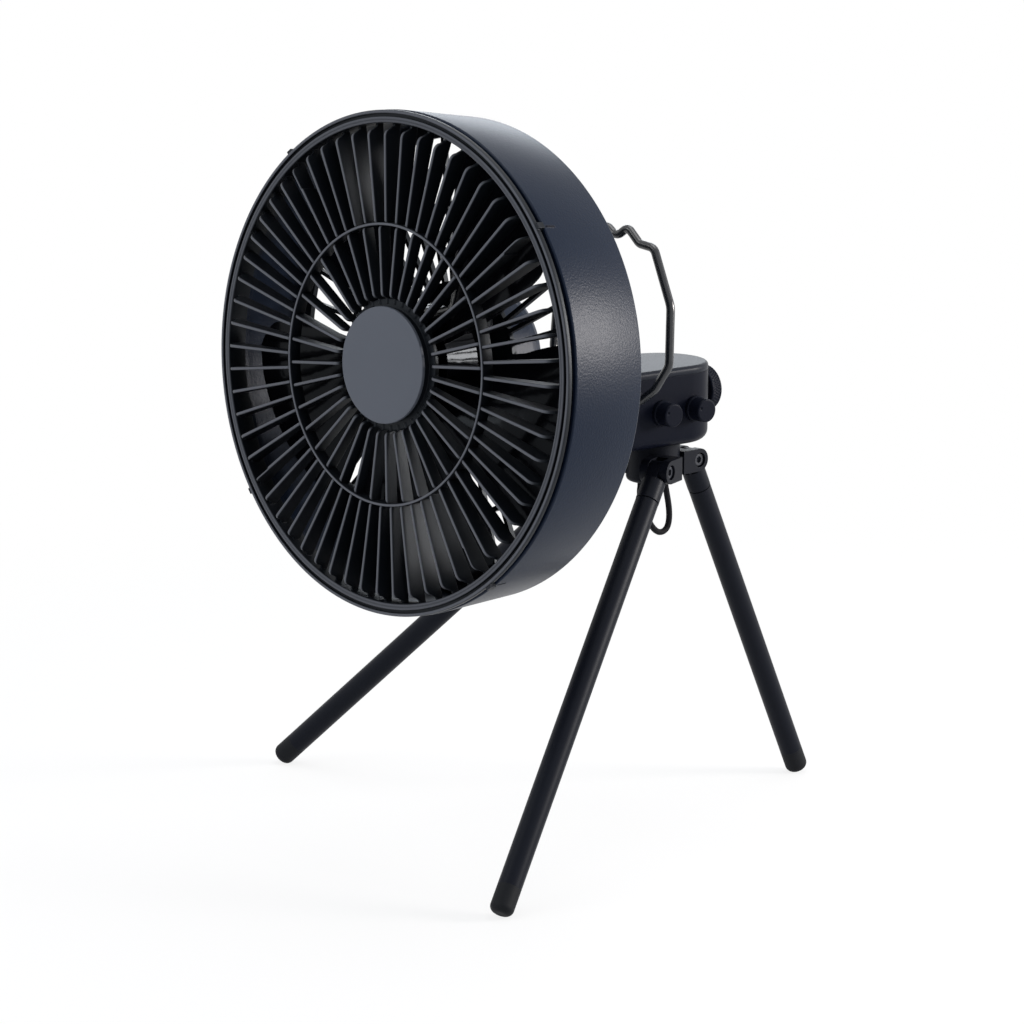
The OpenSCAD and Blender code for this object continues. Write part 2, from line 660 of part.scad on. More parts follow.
// A side knob on its shaft, square out from the housing's right side.
module knob(y, turn) place() on_side(1) translate([housing_r + free_gap, y, knob_z])
  rotate([0, 90, 0]) rotate([0, 0, turn]) difference() {
    union() {
      cylinder(r = knob_collar_d / 2, h = 1.6);
      cylinder(r = knob_d / 2, h = knob_reach - free_gap - 0.6);
      cylinder(r = knob_d / 2 - 0.6, h = knob_reach - free_gap);
      translate([0, 0, -free_gap - 5]) cylinder(r = control_shaft_d / 2, h = 6);
    }
    translate([knob_d / 2 - 2, 0, knob_reach - free_gap]) sphere(r = 0.9, $fn = 24);
  }

module speed_knob() color(black) knob(speed_y, 250);
module light_knob() color(black) knob(light_y, 250);

module rear_dial() color(black) place()
  translate([0, dial_seat_y + free_gap, dial_z]) rotate([-90, 0, 0]) {
    r = dial_d / 2;
    step = 360 / dial_teeth;
    translate([0, 0, 0.8]) linear_extrude(dial_thick - 1.6) polygon([
      for (i = [0:dial_teeth - 1], k = [0, 1])
        [(r - k * 0.5) * cos(step * (i + k / 2)), (r - k * 0.5) * sin(step * (i + k / 2))]]);
    cylinder(r = r - 1, h = dial_thick);
    translate([0, 0, -9]) cylinder(r = control_shaft_d / 2, h = 10);
  }

// ---- Bail ----

// Points of a wire bent in the x-z plane, with an arc of radius radii[i] at each corner.
function unit(v) = v / norm(v);
function corner(a, b, c, r, steps) =
  let (u = unit(b - a), v = unit(c - b), turn = acos(u * v),
       side = u[0] * v[1] - u[1] * v[0] > 0 ? 1 : -1,
       start = b - u * r * tan(turn / 2), centre = start + side * r * [-u[1], u[0]],
       from = atan2(start[1] - centre[1], start[0] - centre[0]))
  [for (k = [0:steps]) let (g = from + side * turn * k / steps)
    [centre[0] + r * cos(g), 0, centre[1] + r * sin(g)]];
function bent_path(pts, radii) = let (n = len(pts) - 1) concat(
  [[pts[0][0], 0, pts[0][1]]],
  [for (i = [1:n - 1]) each corner(pts[i - 1], pts[i], pts[i + 1], radii[i], 4)],
  [[pts[n][0], 0, pts[n][1]]]);

// A round tube along the points of a flat path; flat is the normal of its plane.
module swept_tube(path, r, sides, flat) {
  n = len(path) - 1;
  ways = [for (i = [0:n]) unit(path[min(n, i + 1)] - path[max(0, i - 1)])];
  pts = [for (i = [0:n], k = [0:sides - 1])
    path[i] + r * (cos(k * 360 / sides) * flat + sin(k * 360 / sides) * cross(flat, ways[i]))];
  walls = [for (i = [0:n - 1], k = [0:sides - 1], half = [0, 1])
    let (m = (k + 1) % sides, a = i * sides, b = a + sides)
    half == 0 ? [a + k, b + k, b + m] : [a + k, b + m, a + m]];
  ends = [[for (k = [0:sides - 1]) k], [for (k = [sides - 1:-1:0]) n * sides + k]];
  polyhedron(points = pts, faces = concat(walls, ends), convexity = 6);
}

// Half of the bail as (distance from the middle, height above its pivots).
bail_half = [[boss_x - 4, 0], [boss_x + 1.2, 0], [bail_half_width - 7.9, 7.2],
             [bail_half_width + 0.6, 20.2], [bail_half_width - 0.5, 49.6], [25.8, 77.6],
             [15.8, 78.9], [7.4, 86.4], [0, 81.1]];
bail_radii = [0, 2, 8, 7, 12, 5, 5, 3.4, 5];

module bail() color(black) place() translate([0, bail_y, bail_pivot_z])
  rotate([-bail_lean, 0, 0]) {
    n = len(bail_half) - 1;
    pts = concat([for (i = [0:n]) bail_half[i]],
                 [for (i = [n - 1:-1:0]) [-bail_half[i][0], bail_half[i][1]]]);
    radii = concat(bail_radii, [for (i = [n - 1:-1:0]) bail_radii[i]]);
    swept_tube(bent_path(pts, radii), bail_d / 2, 20, [0, 1, 0]);
  }

// ---- Stand ----

module at_leg(pin, dir) translate([pin[0], pin[1], pin_z]) rotate([0, 0, dir]) children();

// Block with two cheeks round one pin; the leg points to local -y.
module clevis() {
  difference() {
    translate([-block_width / 2, 0, -cheek_r]) cube([block_width, block_reach, 2 * cheek_r]);
    translate([-block_width / 2 - 1, -10, cheek_r]) rotate([25, 0, 0])
      cube([block_width + 2, 10, 6]);
  }
  x_rod(cheek_r, block_width);
}

// Slot, pin hole and the recess for the pin's head, on the right (s = 1) or the left.
module clevis_cuts(s) {
  translate([-slot_width / 2, -cheek_r - 1, -cheek_r - 1])
    cube([slot_width, 2 * cheek_r + 1.2, 2 * cheek_r + 2]);
  x_rod(leg_pin_d / 2 + run_fit, block_width + 4);
  translate([s * block_width / 2, 0, 0]) x_rod(bolt_head_d / 2 + bolt_head_gap, 2 * bolt_recess);
}

module stand_hub() color(black) place() difference() {
  union() {
    translate([0, 0, hub_top_z]) mirror([0, 0, 1])
      round_disc(collar_d / 2, hub_top_z - hub_base_z, collar_round);
    at_leg(pin_a, dir_a) clevis();
    at_leg(pin_b, dir_b) clevis();
    at_leg(pin_c, dir_c) clevis();
  }
  at_leg(pin_a, dir_a) clevis_cuts(1);
  at_leg(pin_b, dir_b) clevis_cuts(-1);
  at_leg(pin_c, dir_c) clevis_cuts(1);
  translate([0, 0, hub_base_z + 4]) cylinder(r = stud_d / 2 + 0.02, h = 30);
}

module stand_stud() color(metal_colour) place()
  translate([0, 0, hub_base_z + 4]) cylinder(r = stud_d / 2, h = housing_base_z + 8.6 - hub_base_z - 4);

module swivel_pad() color(black) place() ring(collar_d / 2 - 1, 8, hub_top_z, pad_thick);

// Low-head socket bolt across a clevis, its head on the right (s = 1) or the left.
module hinge_bolt(s) translate([s * (block_width / 2 - bolt_recess), 0, 0])
  rotate([0, s * 90, 0]) difference() {
    union() {
      cylinder(r = bolt_head_d / 2, h = bolt_head_height);
      translate([0, 0, bolt_recess + 0.5 - block_width])
        cylinder(r = leg_pin_d / 2, h = block_width - bolt_recess);
    }
    translate([0, 0, bolt_head_height - 1.6]) cylinder(r = 1.9, h = 3, $fn = 6);
  }

module hinge_bolts() color(metal_colour) place() {
  at_leg(pin_a, dir_a) hinge_bolt(1);
  at_leg(pin_b, dir_b) hinge_bolt(-1);
  at_leg(pin_c, dir_c) hinge_bolt(1);
}

// ---- Legs: local z runs down the leg from the pin. ----

module on_leg(pin, dir, d) place() at_leg(pin, dir) rotate([180 - splay(d), 0, 0]) children();

module leg_sleeve() difference() {
  union() {
    x_rod(tongue_r, tongue_thick);
    translate([-tongue_thick / 2, -tongue_r, 0])
      cube([tongue_thick, 2 * tongue_r, sleeve_start + 1]);
    translate([0, 0, sleeve_start]) cylinder(r = leg_r + 0.1, h = sleeve_length);
    translate([0, 0, sleeve_end]) cylinder(r = leg_r - 0.5, h = 0.6);
    translate([0, 0, sleeve_end]) cylinder(r = plug_r, h = sleeve_plug);
  }
  x_rod(leg_pin_d / 2 + run_fit, 20);
}

module leg_tube(d) difference() {
  translate([0, 0, tube_start])
    cylinder(r = leg_r, h = leg_length(d) - foot_length - tube_start);
  translate([0, 0, tube_start - 1]) cylinder(r = leg_r - tube_wall, h = leg_length(d));
}

// Foot cap with a rounded edge and a plug inside the tube.
module leg_foot(d) {
  translate([0, 0, leg_length(d) - foot_length]) rotate_extrude() polygon(concat(
    [[0, 0], [leg_r, 0]],
    [for (a = [0:10:90]) [leg_r - foot_round + foot_round * cos(a),
                          foot_length - foot_round + foot_round * sin(a)]],
    [[0, foot_length]]));
  translate([0, 0, leg_length(d) - foot_length - foot_plug])
    cylinder(r = plug_r, h = foot_plug + 1);
}

module leg_a_sleeve() color(black) on_leg(pin_a, dir_a, leg_a_reach) leg_sleeve();
module leg_a_tube() color(black) on_leg(pin_a, dir_a, leg_a_reach) leg_tube(leg_a_reach);
module leg_a_foot() color(black) on_leg(pin_a, dir_a, leg_a_reach) leg_foot(leg_a_reach);
module leg_b_sleeve() color(black) on_leg(pin_b, dir_b, leg_b_reach) leg_sleeve();
module leg_b_tube() color(black) on_leg(pin_b, dir_b, leg_b_reach) leg_tube(leg_b_reach);
module leg_b_foot() color(black) on_leg(pin_b, dir_b, leg_b_reach) leg_foot(leg_b_reach);
module leg_c_sleeve() color(black) on_leg(pin_c, dir_c, leg_c_reach) leg_sleeve();
module leg_c_tube() color(black) on_leg(pin_c, dir_c, leg_c_reach) leg_tube(leg_c_reach);
module leg_c_foot() color(black) on_leg(pin_c, dir_c, leg_c_reach) leg_foot(leg_c_reach);

// ---- Cord loop under the stand's hub ----

// Route as (y, depth below the hub) points; its two ends run straight up to the hub.
cord_route = [[-9.4, 2], [-9.8, 5], [-9.2, 9], [-7, 14], [-3, 21], [1, 26], [5, 28.5],
              [9, 28.5], [11.8, 26.3], [12.9, 22], [12.6, 16.5], [11.3, 10.5], [9.9, 5],
              [9.4, 2]];

// Smooth curve through the route's points.
function curve(p, s) =
  let (n = len(p) - 1, i = min(n - 1, floor(s)), t = s - i,
       a = p[max(0, i - 1)], b = p[i], c = p[i + 1], d = p[min(n, i + 2)])
  0.5 * (2 * b + t * (c - a) + t * t * (2 * a - 5 * b + 4 * c - d)
         + t * t * t * (3 * b - a - 3 * c + d));

module cord_loop() color(black) place() {
  steps = 26;
  route = [for (p = cord_route) [0, p[0], hub_base_z - p[1]]];
  n = len(route) - 1;
  swept_tube(concat([[0, cord_route[0][0], hub_base_z]],
                    [for (i = [0:steps]) curve(route, n * i / steps)],
                    [[0, cord_route[n][0], hub_base_z]]), cord_d / 2, 8, [1, 0, 0]);
}

front_grille();
grille_badge();
drum_shell();
rear_grille();
rear_screws();
rotor_hub();
rotor_blades();
rotor_nut();
motor_shaft();
motor_can();
motor_cowl();
neck();
tilt_pin();
housing_body();
housing_lid();
housing_screws();
battery_cells();
control_board();
charge_port();
speed_knob();
light_knob();
rear_dial();
bail();
stand_hub();
stand_stud();
swivel_pad();
hinge_bolts();
leg_a_sleeve();
leg_a_tube();
leg_a_foot();
leg_b_sleeve();
leg_b_tube();
leg_b_foot();
leg_c_sleeve();
leg_c_tube();
leg_c_foot();
cord_loop();
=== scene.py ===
import math

import bmesh
import bpy
import numpy as np
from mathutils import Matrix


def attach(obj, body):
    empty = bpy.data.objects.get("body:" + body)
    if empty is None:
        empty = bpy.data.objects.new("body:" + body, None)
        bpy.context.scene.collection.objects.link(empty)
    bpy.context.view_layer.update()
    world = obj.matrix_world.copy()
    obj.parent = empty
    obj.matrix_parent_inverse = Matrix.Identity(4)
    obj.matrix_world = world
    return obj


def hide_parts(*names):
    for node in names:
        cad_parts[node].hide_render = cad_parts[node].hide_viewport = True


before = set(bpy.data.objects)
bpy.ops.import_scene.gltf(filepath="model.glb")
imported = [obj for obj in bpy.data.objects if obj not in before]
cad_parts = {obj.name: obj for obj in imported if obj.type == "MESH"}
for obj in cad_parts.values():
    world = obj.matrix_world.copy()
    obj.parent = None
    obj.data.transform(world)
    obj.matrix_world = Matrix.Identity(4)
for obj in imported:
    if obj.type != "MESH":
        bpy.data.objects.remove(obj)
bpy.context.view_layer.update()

# Portable camping fan: a drum head on a neck, a battery housing with a bail, and
# a folding three-leg stand. Z up, the fan faces -Y. Shapes are worked out in millimetres
# from the stand's axis, and add_mesh makes them metres from the object's origin.

MM = 0.001
ORIGIN = np.array([-45.1071, -40.5965, 0.0])   # the object's origin, from the stand's axis, mm

HEAD_TILT = math.radians(3.64)
PIVOT = np.array([0.0, -68.0, 229.0])          # tilt pin, mm
PIVOT_DROP = 25.4                              # from the pin up to the fan's axis
PIVOT_BACK = 122.2                             # from the pin forward to the grille ring

EYE = np.array([1128.71, -1237.99, 523.94])    # the camera, from the stand's axis, mm
EYE_PITCH, EYE_TURN = 77.8, 44.85              # degrees
FILM, LENS_RATIO = 36.0, 3300.0 / 1024.0       # film width, mm; focal length over film width

SOFT_COLOUR, SOFT_STRENGTH = (0.86, 0.91, 1.0), 0.5
WHITE = (1.0, 1.0, 1.0)
# name, place, aim, width, height (metres), power (watts), colour
LAMPS = [
    ("side_lamp", (0.96, 0.86, 0.49), (0.10, 0.0, 0.25), 0.35, 0.40, 18.5, (1.0, 0.94, 0.90)),
    ("front_lamp", (-0.5, -1.7, 1.3), (0.0, -0.10, 0.22), 1.4, 1.0, 14.0, WHITE),
    ("top_lamp", (0.1, 0.2, 1.9), (0.0, -0.05, 0.25), 1.2, 1.2, 14.0, WHITE),
    ("rear_lamp", (-1.2, 1.35, 0.85), (0.0, 0.0, 0.28), 1.0, 0.5, 5.0, (0.85, 0.92, 1.0)),
]

FLOOR_HALF, FLOOR_GREY = 4.0, 0.86             # metres; the share of light it gives back
FADE_FROM, FADE_TO = 0.20, 0.80                # where the floor fades to white, metres
NEAR_WHITE = 0.82                              # share of plain white near the feet


# ---- Camera, floor and light ----

def add_camera():
    """A long lens, 45 degrees round from the front to the +X side, looking 12 degrees down."""
    data = bpy.data.cameras.new("view")
    data.sensor_width = FILM
    data.lens = FILM * LENS_RATIO
    data.clip_start = 0.05
    data.clip_end = 50.0
    cam = bpy.data.objects.new("view", data)
    bpy.context.collection.objects.link(cam)
    cam.location = tuple((EYE - ORIGIN) * MM)
    cam.rotation_euler = (math.radians(EYE_PITCH), 0.0, math.radians(EYE_TURN))
    bpy.context.scene.camera = cam


def add_area(name, place, aim, width, height, power, colour):
    """A rectangular lamp at place, turned so that it shines at aim."""
    data = bpy.data.lights.new(name, "AREA")
    data.shape = "RECTANGLE"
    data.size = width
    data.size_y = height
    data.energy = power
    data.color = colour
    lamp = bpy.data.objects.new(name, data)
    bpy.context.collection.objects.link(lamp)
    lamp.visible_camera = False
    lamp.location = place
    way = np.array(aim) - np.array(place)
    tip = math.atan2(math.hypot(way[0], way[1]), -way[2])
    lamp.rotation_euler = (tip, 0.0, math.atan2(way[1], way[0]) - math.pi / 2)


def background_rays(nodes, links):
    """1 on camera, mirror and glass rays; 0 on all other rays."""
    path = nodes.new("ShaderNodeLightPath")
    seen = path.outputs["Is Camera Ray"]
    for kind in ("Is Glossy Ray", "Is Transmission Ray"):
        most = nodes.new("ShaderNodeMath")
        most.operation = "MAXIMUM"
        links.new(seen, most.inputs[0])
        links.new(path.outputs[kind], most.inputs[1])
        seen = most.outputs[0]
    return seen


def add_world():
    """Soft cool light all round, and a white background where it is seen or mirrored."""
    world = bpy.data.worlds.new("studio")
    bpy.context.scene.world = world
    world.use_nodes = True
    nodes, links = world.node_tree.nodes, world.node_tree.links
    nodes.clear()
    soft = nodes.new("ShaderNodeBackground")
    soft.inputs["Color"].default_value = (*SOFT_COLOUR, 1.0)
    soft.inputs["Strength"].default_value = SOFT_STRENGTH
    white = nodes.new("ShaderNodeBackground")
    white.inputs["Color"].default_value = (*WHITE, 1.0)
    mix = nodes.new("ShaderNodeMixShader")
    links.new(background_rays(nodes, links), mix.inputs[0])
    links.new(soft.outputs[0], mix.inputs[1])
    links.new(white.outputs[0], mix.inputs[2])
    out = nodes.new("ShaderNodeOutputWorld")
    links.new(mix.outputs[0], out.inputs[0])


def add_floor():
    """A pale floor, mostly plain white where it is seen, so that a soft shadow is left near
    the feet; further out it fades to plain white."""
    mesh = bpy.data.meshes.new("floor")
    r = FLOOR_HALF
    mesh.from_pydata([(-r, -r, 0), (r, -r, 0), (r, r, 0), (-r, r, 0)], [], [(0, 1, 2, 3)])
    floor = bpy.data.objects.new("floor", mesh)
    bpy.context.collection.objects.link(floor)
    mat = bpy.data.materials.new("floor_white")
    mat.use_nodes = True
    nodes, links = mat.node_tree.nodes, mat.node_tree.links
    shader = nodes["Principled BSDF"]
    shader.inputs["Base Color"].default_value = (FLOOR_GREY, FLOOR_GREY, FLOOR_GREY, 1.0)
    shader.inputs["Roughness"].default_value = 1.0
    shader.inputs["Specular IOR Level"].default_value = 0.0
    glow = nodes.new("ShaderNodeEmission")
    glow.inputs["Color"].default_value = (*WHITE, 1.0)
    place = nodes.new("ShaderNodeTexCoord")
    far = nodes.new("ShaderNodeVectorMath")
    far.operation = "LENGTH"
    links.new(place.outputs["Object"], far.inputs[0])
    fade = nodes.new("ShaderNodeMapRange")
    fade.interpolation_type = "SMOOTHSTEP"
    fade.inputs["From Min"].default_value = FADE_FROM
    fade.inputs["From Max"].default_value = FADE_TO
    fade.inputs["To Min"].default_value = NEAR_WHITE
    fade.inputs["To Max"].default_value = 1.0
    links.new(far.outputs["Value"], fade.inputs["Value"])
    part = nodes.new("ShaderNodeMath")
    part.operation = "MULTIPLY"
    links.new(background_rays(nodes, links), part.inputs[0])
    links.new(fade.outputs[0], part.inputs[1])
    mix = nodes.new("ShaderNodeMixShader")
    links.new(part.outputs[0], mix.inputs[0])
    links.new(shader.outputs[0], mix.inputs[1])
    links.new(glow.outputs[0], mix.inputs[2])
    links.new(mix.outputs[0], nodes["Material Output"].inputs["Surface"])
    mesh.materials.append(mat)


bpy.context.scene.view_settings.view_transform = "Standard"
add_camera()
add_world()
add_floor()
for lamp_row in LAMPS:
    add_area(*lamp_row)


# ---- Finishes ----

COOL = (0.92, 0.96, 1.0)                       # tint of the reflections
PATCHES_PER_METRE = 40.0
GLOSS_SPREAD = 0.05                            # roughness, up and down with the grain
EDGE_RADIUS = 0.0004                           # metres


def moulded(name, colour, rough, grain_size, grain_depth, patch, spec=0.5, tint=WHITE,
            detail=3.0, painted_front_light=None):
    """Moulded or coated surface: fine grain as bump and gloss, slow patches of colour, edges
    that look 0.4 mm round. The last argument is a painted highlight: a lighter colour on the
    surfaces that face the front, where the front lamps light them, by the piece's own attribute."""
    mat = bpy.data.materials.new(name)
    mat.use_nodes = True
    nodes, links = mat.node_tree.nodes, mat.node_tree.links
    shader = nodes["Principled BSDF"]
    place = nodes.new("ShaderNodeTexCoord")
    grain = nodes.new("ShaderNodeTexNoise")
    grain.inputs["Scale"].default_value = 1.0 / grain_size
    grain.inputs["Detail"].default_value = detail
    links.new(place.outputs["Object"], grain.inputs["Vector"])
    slow = nodes.new("ShaderNodeTexNoise")
    slow.inputs["Scale"].default_value = PATCHES_PER_METRE
    slow.inputs["Detail"].default_value = 2.0
    links.new(place.outputs["Object"], slow.inputs["Vector"])
    tone = nodes.new("ShaderNodeMix")
    tone.data_type = "RGBA"
    dark = [c * (1.0 - patch) for c in colour]
    light = [c * (1.0 + patch) for c in colour]
    tone.inputs[6].default_value = (*dark, 1.0)
    tone.inputs[7].default_value = (*light, 1.0)
    links.new(slow.outputs["Fac"], tone.inputs[0])
    links.new(tone.outputs[2], shader.inputs["Base Color"])
    # Painted highlight: surfaces that face the front are mixed to a lighter colour, standing in for
    # the front light on them.
    if painted_front_light:
        front = nodes.new("ShaderNodeAttribute")
        front.attribute_name = "front"
        painted_light_mix = nodes.new("ShaderNodeMix")
        painted_light_mix.data_type = "RGBA"
        painted_light_mix.inputs[7].default_value = (*painted_front_light, 1.0)
        links.new(front.outputs["Fac"], painted_light_mix.inputs[0])
        links.new(tone.outputs[2], painted_light_mix.inputs[6])
        links.new(painted_light_mix.outputs[2], shader.inputs["Base Color"])
    gloss = nodes.new("ShaderNodeMapRange")
    gloss.inputs["To Min"].default_value = rough - GLOSS_SPREAD
    gloss.inputs["To Max"].default_value = rough + GLOSS_SPREAD
    links.new(grain.outputs["Fac"], gloss.inputs["Value"])
    links.new(gloss.outputs[0], shader.inputs["Roughness"])
    bump = nodes.new("ShaderNodeBump")
    bump.inputs["Distance"].default_value = grain_depth
    bump.inputs["Strength"].default_value = 1.0
    links.new(grain.outputs["Fac"], bump.inputs["Height"])
    soft_edge = nodes.new("ShaderNodeBevel")
    soft_edge.samples = 4
    soft_edge.inputs["Radius"].default_value = EDGE_RADIUS
    links.new(soft_edge.outputs[0], bump.inputs["Normal"])
    links.new(bump.outputs[0], shader.inputs["Normal"])
    shader.inputs["Specular IOR Level"].default_value = spec
    shader.inputs["Specular Tint"].default_value = (*tint, 1.0)
    return mat


drum_finish = moulded("drum_finish", (0.005, 0.010, 0.023), rough=0.36, grain_size=0.0010,
                      grain_depth=0.0001, patch=0.06, spec=0.125, tint=COOL, detail=1.5)
# The lighter colour on the grille's front edges and ring face is a painted highlight over the dark
# base: lit fronts and shaded fin sides of one black plastic.
grille_finish = moulded("grille_finish", (0.004, 0.005, 0.007), rough=0.42, grain_size=0.0005,
                        grain_depth=0.00001, patch=0.05, spec=0.17, tint=(0.80, 0.90, 1.0),
                        painted_front_light=(0.094, 0.098, 0.112))
badge_finish = moulded("badge_finish", (0.075, 0.084, 0.104), rough=0.55, grain_size=0.0004,
                       grain_depth=0.00001, patch=0.03, spec=0.3)
blade_finish = moulded("blade_finish", (0.002, 0.002, 0.003), rough=0.13, grain_size=0.010,
                       grain_depth=0.0002, patch=0.05, spec=0.08, tint=(0.78, 0.89, 1.0))
black_finish = moulded("black_finish", (0.004, 0.005, 0.010), rough=0.38, grain_size=0.0004,
                       grain_depth=0.00001, patch=0.05, spec=0.05, tint=COOL)
lid_finish = moulded("lid_finish", (0.009, 0.011, 0.017), rough=0.40, grain_size=0.0004,
                     grain_depth=0.00001, patch=0.04, spec=0.11, tint=COOL)
coat_finish = moulded("coat_finish", (0.005, 0.006, 0.010), rough=0.42, grain_size=0.0005,
                      grain_depth=0.00001, patch=0.05, spec=0.09, tint=COOL)
wire_finish = moulded("wire_finish", (0.010, 0.012, 0.016), rough=0.24, grain_size=0.0004,
                      grain_depth=0.0000005, patch=0.05, spec=0.6)
steel_finish = moulded("steel_finish", (0.40, 0.40, 0.41), rough=0.35, grain_size=0.0004,
                       grain_depth=0.00001, patch=0.05)
can_finish = moulded("can_finish", (0.014, 0.014, 0.016), rough=0.45, grain_size=0.0004,
                     grain_depth=0.00001, patch=0.05, spec=0.2)
bolt_finish = moulded("bolt_finish", (0.024, 0.027, 0.035), rough=0.35, grain_size=0.0004,
                      grain_depth=0.00001, patch=0.05, spec=0.3)
rubber_finish = moulded("rubber_finish", (0.006, 0.007, 0.009), rough=0.60, grain_size=0.0004,
                        grain_depth=0.00002, patch=0.05, spec=0.12)
cord_finish = moulded("cord_finish", (0.006, 0.006, 0.008), rough=0.7, grain_size=0.0006,
                      grain_depth=0.00008, patch=0.1, spec=0.1)

# All nodes that aren't bare steel.
FINISH = {
    "drum_shell": drum_finish, "motor_cowl": drum_finish,
    "front_grille": grille_finish, "rear_grille": grille_finish, "grille_badge": badge_finish,
    "rotor_hub": blade_finish, "rotor_blades": blade_finish, "motor_can": can_finish,
    "neck": black_finish, "housing_body": black_finish, "housing_lid": lid_finish,
    "speed_knob": black_finish, "light_knob": black_finish, "rear_dial": black_finish,
    "bail": wire_finish, "stand_hub": coat_finish, "hinge_bolts": bolt_finish,
    "swivel_pad": rubber_finish, "cord_loop": cord_finish,
}
for leg in "abc":
    FINISH["leg_%s_sleeve" % leg] = coat_finish
    FINISH["leg_%s_tube" % leg] = coat_finish
    FINISH["leg_%s_foot" % leg] = rubber_finish
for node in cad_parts:
    obj = bpy.data.objects.get(node)
    if obj is None:
        continue
    obj.data.materials.clear()
    obj.data.materials.append(FINISH.get(node, steel_finish))


# ---- Meshes ----

SAME_POINT = 1e-7    # metres


def weld(mesh):
    """One point wherever several meet, so that the middle of a turned shape is closed."""
    work = bmesh.new()
    work.from_mesh(mesh)
    bmesh.ops.remove_doubles(work, verts=work.verts, dist=SAME_POINT)
    work.to_mesh(mesh)
    work.free()


def add_mesh(name, points, faces, material, body, soft_angle=40.0):
    """A piece from points in millimetres from the stand's axis, shaded smooth up to an angle."""
    mesh = bpy.data.meshes.new(name)
    mesh.from_pydata(((np.asarray(points) - ORIGIN) * MM).tolist(), [], faces)
    weld(mesh)
    mesh.polygons.foreach_set("use_smooth", [True] * len(mesh.polygons))
    mesh.set_sharp_from_angle(angle=math.radians(soft_angle))
    mesh.materials.append(material)
    mesh.update()
    obj = bpy.data.objects.new(name, mesh)
    bpy.context.collection.objects.link(obj)
    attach(obj, body)
    return obj


def tube_faces(rings, sides, closed=False):
    """Quads between rings of points, and a flat face at each open end."""
    i = np.arange(rings if closed else rings - 1)[:, None]
    k = np.arange(sides)[None, :]
    nxt = (i + 1) % rings
    m = (k + 1) % sides
    quads = np.stack([i * sides + k, i * sides + m, nxt * sides + m, nxt * sides + k], -1)
    faces = quads.reshape(-1, 4).tolist()
    if not closed:
        faces.append(list(range(sides))[::-1])
        faces.append([(rings - 1) * sides + q for q in range(sides)])
    return faces


# ---- Shapes worked out on grids ----

def from_head(p):
    """Turn points of the head's own frame (x along +X, y up, z out of the grille's face)
    by the tilt about the pin, in millimetres from the stand's axis."""
    c, s = math.cos(HEAD_TILT), math.sin(HEAD_TILT)
    p = np.asarray(p, float)
    y = p[..., 1] + PIVOT_DROP
    z = p[..., 2] + PIVOT_BACK
    return np.stack([p[..., 0], PIVOT[1] + y * s - z * c, PIVOT[2] + y * c + z * s], -1)


def round_corners(points, radii, steps=5):
    """Replace each corner of a closed outline by an arc that touches both its edges."""
    p = np.asarray(points, float)
    out = []
    for i, r in enumerate(radii):
        a, b, c = p[i - 1], p[i], p[(i + 1) % len(p)]
        if r <= 0:
            out.append(b[None])
            continue
        u, v = (a - b) / np.linalg.norm(a - b), (c - b) / np.linalg.norm(c - b)
        half = math.acos(np.clip(u @ v, -1, 1)) / 2
        cut = r / math.tan(half)
        mid = b + (u + v) / np.linalg.norm(u + v) * r / math.sin(half)
        first, last = b + u * cut - mid, b + v * cut - mid
        t = np.linspace(0, 1, steps)[:, None]
        arc = first * (1 - t) + last * t
        out.append(mid + arc / np.linalg.norm(arc, axis=1)[:, None] * r)
    return np.concatenate(out)


def lathe(profile, count):
    """Carry a closed outline of (radius, z) round the z axis: count copies, one ring of
    quads between each copy and the next, turned outwards whichever way the outline runs."""
    prof = np.asarray(profile, float)
    turn = np.linspace(0, 2 * np.pi, count, endpoint=False)
    x = np.cos(turn)[:, None] * prof[None, :, 0]
    y = np.sin(turn)[:, None] * prof[None, :, 0]
    z = np.broadcast_to(prof[None, :, 1], x.shape)
    area = np.sum(prof[:, 0] * np.roll(prof[:, 1], -1) - np.roll(prof[:, 0], -1) * prof[:, 1])
    faces = np.array(tube_faces(count, len(prof), closed=True))
    if area > 0:
        faces = faces[:, ::-1]
    return np.stack([x, y, z], -1).reshape(-1, 3), faces.tolist()


# The nine points of a fin's section. SECTION_DEPTH is how far each lies behind the front edge,
# as a share of the rounded part's depth, or 1 for the back; SECTION_ACROSS is how far it lies
# from the middle, as a share of half the width.
ROUND_DEPTH, ROUND_SHARE = 0.9, 0.9            # mm, and at most this share of the fin's depth
SECTION_DEPTH = np.array([1.0, 0.72, 0.3, 0.08, 0.0, 0.08, 0.3, 0.72, 1.0])
SECTION_ACROSS = np.array([1.0, 1.0, 0.93, 0.62, 0.0, -0.62, -0.93, -1.0, -1.0])


def fin_surface(front, back, width, shift=0.0, thin=1.0):
    """A fin standing on edge: each station is the section above, laid between front and back,
    which are (radius, z) curves. shift moves it sideways and thin narrows it, by station."""
    front, back = np.asarray(front, float), np.asarray(back, float)
    depth = np.linalg.norm(back - front, axis=1)
    way = (back - front) / depth[:, None]
    down = np.minimum(SECTION_DEPTH[None, :] * ROUND_DEPTH, depth[:, None] * ROUND_SHARE)
    down = np.where(SECTION_DEPTH[None, :] == 1.0, depth[:, None], down)
    half = np.broadcast_to(width / 2 * thin, len(front))
    off = np.broadcast_to(shift, len(front))
    rz = front[:, None, :] + way[:, None, :] * down[..., None]
    y = SECTION_ACROSS[None, :] * half[:, None] + off[:, None]
    pts = np.stack([rz[..., 0], y, rz[..., 1]], -1).reshape(-1, 3)
    return pts, tube_faces(len(front), len(SECTION_DEPTH))


